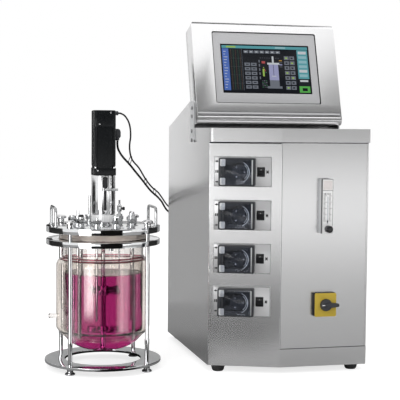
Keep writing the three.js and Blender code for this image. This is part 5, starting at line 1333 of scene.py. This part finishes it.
# ---------------------------------------------------------------- stirrer drive
def lantern():
    """The seal housing and the slotted lantern, with a cross bar on two lugs in front of its window."""
    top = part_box("motor_lantern")[1].z
    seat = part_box("motor_lantern")[0].z
    collar = [PLATE_TOP + 0.0091, PLATE_TOP + 0.0321]
    profile = [
        (0.0063, seat), (0.020, seat), (0.020, collar[0]), (0.034, collar[0]), (0.034, collar[1]),
        (0.0335, collar[1] + 0.001),
        (0.035, collar[1] + 0.0015), (0.035, top), (0.030, top), (0.030, collar[1] + 0.008),
        (0.0063, collar[1] + 0.008),
    ]
    shell = turned("lantern_shell", eased(profile, 0.0008), sides=96)
    sill, lintel = top - 0.0362, top - 0.004
    window = prism("window_cut", rectangle(AXIS.x - 0.0075, AXIS.x + 0.0075, sill, lintel, 0.002), AXIS.y - 0.04,
        AXIS.y + 0.04, FACING)
    slit = prism("slit_cut", rectangle(AXIS.x - 0.004, AXIS.x + 0.004, collar[1] + 0.012, sill + 0.001, 0.0),
        AXIS.y - 0.04, AXIS.y, FACING)
    dress(carve(shell, window, slit), lantern_steel, replaces=["motor_lantern"])
    # A black sleeve inside the lantern: painted shade of its interior, seen through the window.
    shade_sleeve = eased([(0.0290, collar[1] + 0.009), (0.0298, collar[1] + 0.009), (0.0298, top - 0.0005),
        (0.0290, top - 0.0005)], 0.0002)
    dress(turned("lantern_shade_sleeve", shade_sleeve, sides=64), shade_black)
    # A darker core between the ribs: painted shade in the gaps.
    ring = bmesh.new()
    spot = Matrix.Translation((AXIS.x, AXIS.y, 0))
    turned_mesh(ring, eased([(0.0335, collar[0] + 0.001), (0.0343, collar[0] + 0.001), (0.0343, collar[1] - 0.001),
        (0.0335, collar[1] - 0.001)], 0.0003), spot, 96)
    dress(from_bmesh("lantern_grip_shade", ring), shaded_groove_steel)
    # The ribs in the lighter copy of the steel: painted highlight on their faces.
    ring = bmesh.new()
    for rib in range(40):
        turn = spot @ Matrix.Rotation(rib * math.pi / 20, 4, "Z")
        prism_mesh(ring, rectangle(0.0338, 0.0352, -0.0020, 0.0020), collar[0] + 0.0016, collar[1] - 0.0016, turn,
            0.0003)
    dress(from_bmesh("lantern_grip", ring), lit_rib_steel)
    bar_height = sill - 0.005
    bm = bmesh.new()
    bar_place = Matrix.Translation((AXIS.x - 0.0025, AXIS.y - 0.037, bar_height)) @ Matrix.Rotation(math.pi / 2, 4,
        "Y")
    turned_mesh(bm, eased([(0, 0), (0.0036, 0), (0.0036, 0.0395), (0, 0.0395)], 0.001, False), bar_place, 24)
    for x in (-0.0115, 0.0075):
        outline = rectangle(AXIS.x + x, AXIS.x + x + 0.004, bar_height - 0.0028, bar_height + 0.0028, 0.0008)
        prism_mesh(bm, outline, AXIS.y - 0.038, AXIS.y - 0.027, FACING, 0.0004)
    dress(from_bmesh("lantern_bar", bm), turned_steel)


def rounded_square(half, radius):
    return rectangle(-half, half, -half, half, radius, 6)


def motor():
    """A square servo motor: flange with screws, grooved body, joint line and a shallow end cap."""
    low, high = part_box("motor_body")
    cap_bottom, cap_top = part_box("motor_end_cap")[0].z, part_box("motor_end_cap")[1].z
    flange_top = low.z + 0.0205
    spot = Matrix.Translation((AXIS.x, AXIS.y, 0))
    bm = bmesh.new()
    prism_mesh(bm, rounded_square(0.0325, 0.005), low.z, flange_top, spot, 0.0008)
    flange = from_bmesh("motor_flange", bm)
    body = prism("motor_case", rounded_square(0.032, 0.009), flange_top - 0.001, cap_bottom + 0.0004, spot, 0.0006)
    grooves = []
    for quarter in range(4):
        for x in (-0.0225, 0.0225):
            cut = spot @ Matrix.Rotation(quarter * math.pi / 2, 4, "Z")
            grooves.append(prism("groove", rectangle(x - 0.0013, x + 0.0013, -0.034, -0.0305), flange_top + 0.002,
                high.z - 0.003, cut))
        corner = spot @ Matrix.Rotation((quarter + 0.5) * math.pi / 2, 4, "Z")
        grooves.append(prism("notch", rectangle(0.0345, 0.050, -0.012, 0.012), flange_top - 0.002,
            flange_top + 0.0075, corner))
    dress(carve(body, *grooves), motor_paint, replaces=["motor_body"])
    dress(flange, motor_paint)
    shell = prism("motor_cap_shell", rounded_square(0.032, 0.008), cap_bottom, cap_top - 0.0015, spot, 0.0012)
    lid = prism("motor_cap_lid", rounded_square(0.030, 0.007), cap_top - 0.003, cap_top, spot, 0.001)
    dress(shell, motor_paint, replaces=["motor_end_cap"])
    dress(lid, motor_paint)
    bm = bmesh.new()
    for x, z in ((-0.016, cap_bottom + 0.008), (0.016, cap_top - 0.007)):
        place = Matrix.Translation((AXIS.x + x, AXIS.y - 0.0318, z)) @ FACING
        turned_mesh(bm, eased([(0, -0.0012), (0.0024, -0.0012), (0.0027, 0.0), (0, 0.0)], 0.0004, False), place, 20)
    for sx in (-1, 1):
        for sy in (-1, 1):
            place = Matrix.Translation((AXIS.x + sx * 0.0275, AXIS.y + sy * 0.0275, flange_top - 0.0005))
            turned_mesh(bm, eased([(0, 0), (0.0030, 0), (0.0030, 0.0052), (0, 0.0054)], 0.0005, False), place, 20)
    place = Matrix.Translation((AXIS.x - 0.0215, AXIS.y - 0.0323, flange_top - 0.0065)) @ FACING
    turned_mesh(bm, eased([(0, -0.0012), (0.0024, -0.0012), (0.0027, 0.0), (0, 0.0)], 0.0004, False), place, 20)
    dress(from_bmesh("motor_screws", bm), polished)
    gland_place = Matrix.Translation((AXIS.x + 0.0315, AXIS.y, cap_top - 0.008)) @ Matrix.Rotation(math.pi / 2, 4,
        "Y")
    gland = [(0, 0), (0.0075, 0), (0.0072, 0.004), (0.0060, 0.0055), (0.0064, 0.0105), (0.0035, 0.0125), (0, 0.0125)]
    dress(turned("signal_gland", eased(gland, 0.0006, False), sides=32, place=gland_place), moulded)


def power_plug():
    """The elbow plug at the motor's side, with the gland of the power cable below it."""
    low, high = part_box("motor_plug")
    outline = eased([(low.x, low.z + 0.006), (high.x - 0.004, low.z + 0.006), (high.x, low.z + 0.010),
        (high.x, high.z - 0.006),
                     (high.x - 0.005, high.z), (low.x, high.z)], 0.003)
    body = prism("plug_body", outline, low.y, high.y, FACING, 0.0018)
    gland_at = power_line[0].to_2d()
    gland = [(0, low.z), (0.0050, low.z), (0.0058, low.z + 0.003), (0.0058, low.z + 0.008), (0, low.z + 0.008)]
    nut = turned("plug_gland", eased(gland, 0.0006, False), gland_at, 32)
    dress(merged("plug_look", [body, nut]), moulded, replaces=["motor_plug"])


GLAND_LENGTH = 0.020


def rear_plate():
    """The connector plate at the back, with two screwed glands."""
    low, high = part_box("rear_connector_plate")
    back = high.y - GLAND_LENGTH
    plate = prism("rear_plate_look", rectangle(low.x, high.x, low.z, high.z, 0.004), low.y, back, FACING, 0.0006)
    dress(plate, aluminium, replaces=["rear_connector_plate"])
    bm = bmesh.new()
    for inset in (0.035, 0.075):
        place = Matrix.Translation((low.x + inset, 0, (low.z + high.z) / 2)) @ FACING
        outline = [(0.0108 * math.cos(i * math.pi / 3), 0.0108 * math.sin(i * math.pi / 3)) for i in range(6)]
        prism_mesh(bm, outline, back - 0.0005, back + 0.0065, place, 0.0006)
        profile = [(0, back), (0.009, back), (0.009, high.y - 0.005), (0.0065, high.y), (0, high.y)]
        turned_mesh(bm, eased(profile, 0.0008, False), place, 32)
    dress(from_bmesh("rear_glands", bm), moulded)


lantern()
motor()
power_plug()
rear_plate()


# ---------------------------------------------------------------- stage
def area_light(name, place, target, size, power):
    """A soft lamp that mirrors don't see."""
    light = bpy.data.lights.new(name, "AREA")
    light.shape = "RECTANGLE"
    light.size, light.size_y = size
    light.energy = power
    lamp = link(name, light)
    lamp.location = place
    lamp.rotation_euler = (Vector(target) - Vector(place)).to_track_quat("-Z", "Y").to_euler()
    lamp.visible_glossy = False


def seen_directly(tree):
    """1 for what the camera, a mirror or clear glass looks at, and 0 for light that falls on the object."""
    path = tree.nodes.new("ShaderNodeLightPath")
    total = path.outputs["Is Camera Ray"]
    for ray in ("Is Transmission Ray", "Is Glossy Ray"):
        pick = tree.nodes.new("ShaderNodeMath")
        pick.operation = "MAXIMUM"
        tree.links.new(total, pick.inputs[0])
        tree.links.new(path.outputs[ray], pick.inputs[1])
        total = pick.outputs[0]
    return total


def world_light():
    world = bpy.data.worlds.new("studio")
    scene.world = world
    world.use_nodes = True
    tree = world.node_tree
    background = tree.nodes["Background"]
    background.inputs["Color"].default_value = (1, 1, 1, 1)
    strength = tree.nodes.new("ShaderNodeMapRange")
    strength.inputs["To Min"].default_value = 0.55
    strength.inputs["To Max"].default_value = 1.0
    tree.links.new(seen_directly(tree), strength.inputs["Value"])
    tree.links.new(strength.outputs["Result"], background.inputs["Strength"])


def card(name, centre, size, toward, tone, glow=0.0, through_glass=False, feather=0.0):
    """A one-sided studio card, dark or glowing, that only polished things mirror. Feather thins its rim."""
    half_x, half_y = size[0] / 2, size[1] / 2
    mesh = bpy.data.meshes.new(name)
    corners = [(-half_x, -half_y, 0), (half_x, -half_y, 0), (half_x, half_y, 0), (-half_x, half_y, 0)]
    mesh.from_pydata(corners, [], [(0, 1, 2, 3)])
    piece = link(name, mesh)
    facing = (Vector(toward) - Vector(centre)).to_track_quat("Z", "Y").to_matrix().to_4x4()
    piece.matrix_world = Matrix.Translation(centre) @ facing
    cloth = surface(name + "_cloth", (tone,) * 3, 0.9, Specular_IOR_Level=0.0)
    tree = cloth.node_tree
    shader = tree.nodes["Principled BSDF"]
    if glow:
        shader.inputs["Emission Color"].default_value = (1, 1, 1, 1)
        shader.inputs["Emission Strength"].default_value = glow
    side = tree.nodes.new("ShaderNodeNewGeometry")
    empty = tree.nodes.new("ShaderNodeBsdfTransparent")
    choose = tree.nodes.new("ShaderNodeMixShader")
    thin = side.outputs["Backfacing"]
    if feather:
        spot = tree.nodes.new("ShaderNodeTexCoord")
        axes = tree.nodes.new("ShaderNodeSeparateXYZ")
        tree.links.new(spot.outputs["Object"], axes.inputs[0])
        for axis, half in zip("XY", (half_x, half_y)):
            away = tree.nodes.new("ShaderNodeMath")
            away.operation = "ABSOLUTE"
            fade = tree.nodes.new("ShaderNodeMapRange")
            fade.interpolation_type = "SMOOTHSTEP"
            fade.inputs["From Min"].default_value = half * (1 - feather)
            fade.inputs["From Max"].default_value = half
            most = tree.nodes.new("ShaderNodeMath")
            most.operation = "MAXIMUM"
            tree.links.new(axes.outputs[axis], away.inputs[0])
            tree.links.new(away.outputs[0], fade.inputs["Value"])
            tree.links.new(thin, most.inputs[0])
            tree.links.new(fade.outputs["Result"], most.inputs[1])
            thin = most.outputs[0]
    tree.links.new(thin, choose.inputs[0])
    tree.links.new(shader.outputs[0], choose.inputs[1])
    tree.links.new(empty.outputs[0], choose.inputs[2])
    tree.links.new(choose.outputs[0], tree.nodes["Material Output"].inputs["Surface"])
    piece.data.materials.append(cloth)
    piece.visible_camera = False
    piece.visible_shadow = False
    piece.visible_diffuse = False
    piece.visible_transmission = through_glass


def floor():
    """Pale paper that looks white where light reaches it and keeps the object's shadow."""
    mesh = bpy.data.meshes.new("floor")
    mesh.from_pydata([(-12, -12, 0), (12, -12, 0), (12, 12, 0), (-12, 12, 0)], [], [(0, 1, 2, 3)])
    piece = link("floor", mesh)
    paper = surface("floor_paper", (0.86, 0.86, 0.86), 0.8, 0, (4, 4, 4), 0, 0.01)
    tree = paper.node_tree
    lifted = tree.nodes.new("ShaderNodeBsdfDiffuse")
    lifted.inputs["Color"].default_value = (0.45, 0.45, 0.45, 1)
    glow = tree.nodes.new("ShaderNodeEmission")
    glow.inputs["Strength"].default_value = 0.76
    both = tree.nodes.new("ShaderNodeAddShader")
    tree.links.new(lifted.outputs[0], both.inputs[0])
    tree.links.new(glow.outputs[0], both.inputs[1])
    choose = tree.nodes.new("ShaderNodeMixShader")
    tree.links.new(seen_directly(tree), choose.inputs[0])
    tree.links.new(tree.nodes["Principled BSDF"].outputs[0], choose.inputs[1])
    tree.links.new(both.outputs[0], choose.inputs[2])
    tree.links.new(choose.outputs[0], tree.nodes["Material Output"].inputs["Surface"])
    piece.data.materials.append(paper)


def around_vessel(bearing, distance, height):
    """A spot at a bearing from the vessel, in degrees to the right of its front."""
    turn = math.radians(bearing)
    return (AXIS.x + distance * math.sin(turn), AXIS.y - distance * math.cos(turn), height)


world_light()
floor()
area_light("key", (-2.6, -2.6, 2.6), (0, 0, 0.5), (1.8, 1.8), 60)
area_light("fill", (2.6, -2.8, 1.8), (0, 0, 0.4), (2.2, 2.2), 28)
area_light("top", (0, 0.2, 3.2), (0, 0, 0.3), (2.4, 2.4), 40)
card("floor_card", (0, 1.2, 0.003), (9.0, 3.0), (0, 1.2, 1), 0.30)
card("floor_front", (0, -2.65, 0.003), (9.0, 4.7), (0, -2.65, 1), 0.36, through_glass=True)
card("floor_left", (-0.85, -1.70, 0.0045), (1.8, 2.4), (-0.85, -1.70, 1), 0.01, feather=0.15)
card("horizon_soft", (0, -4.0, 0.20), (9.0, 0.60), (0, 0, 0.20), 0.5, 1.25, feather=0.2)
card("horizon_left", (-2.2, -3.95, 0.24), (2.3, 0.60), (0, 0, 0.24), 0.5, 2.8, feather=0.25)
card("front_high", (0, -4.0, 1.04), (9.0, 1.2), (0, 0, 1.04), 0.25, feather=0.15)
card("back_card", (-0.65, 1.0, 0.235), (1.9, 0.47), (-0.65, 0, 0.235), 0.44)
card("back_high", (-0.65, 1.0, 0.985), (1.9, 1.03), (-0.65, 0, 0.985), 0.5, 0.36)
card("left_card", (-1.1, 0.55, 0.295), (1.3, 0.59), (0, 0.55, 0.295), 0.04, through_glass=True)
card("motor_side", (-0.47, 0.9, 0.72), (0.26, 0.50), (-0.47, 0, 0.72), 0.02)
card("motor_front", (-0.075, -1.5, 0.69), (0.34, 0.25), (-0.075, 0, 0.69), 0.02)
card("edge_card", (-1.6, -0.1, 1.38), (1.8, 0.84), (0, -0.1, 1.0), 0.03)
card("over_card", (0.6, -0.35, 2.6), (1.4, 1.3), (0.6, -0.35, 0), 0.10)
card("high_card", (1.5, -4.0, 2.55), (6.0, 2.0), (0, 0, 0.9), 0.32)
card("high_soft", (1.6, -3.2, 4.6), (6.0, 2.0), (0, 0, 0.9), 0.5, 1.02)
card("lens_card", (-0.259, -0.435, 0.215), (0.22, 0.43), (-0.259, 0, 0.215), 0.01, through_glass=True)
card("ring_card", (-0.22, -0.36, 0.004), (0.26, 0.19), (-0.22, -0.36, 1), 0.01)
card("under_card", (AXIS.x, AXIS.y + 0.09, 0.0035), (0.30, 0.42), (AXIS.x, AXIS.y + 0.09, 1), 0.03,
    through_glass=True, feather=0.2)
card("soft_left", around_vessel(-41, 0.64, 0.33), (0.27, 0.66), around_vessel(0, 0, 0.33), 0.5, 6.5,
    through_glass=True, feather=0.3)
card("soft_right", (-0.1377, -0.3278, 0.18), (0.104, 0.34), (-0.8327, 0.3922, 0.18), 0.5, 2.2, through_glass=True,
    feather=0.4)
card("right_card", (-0.02, -0.12, 0.30), (0.15, 0.60), (-1, -0.12, 0.30), 0.04, through_glass=True)
scene.view_settings.view_transform = "Standard"
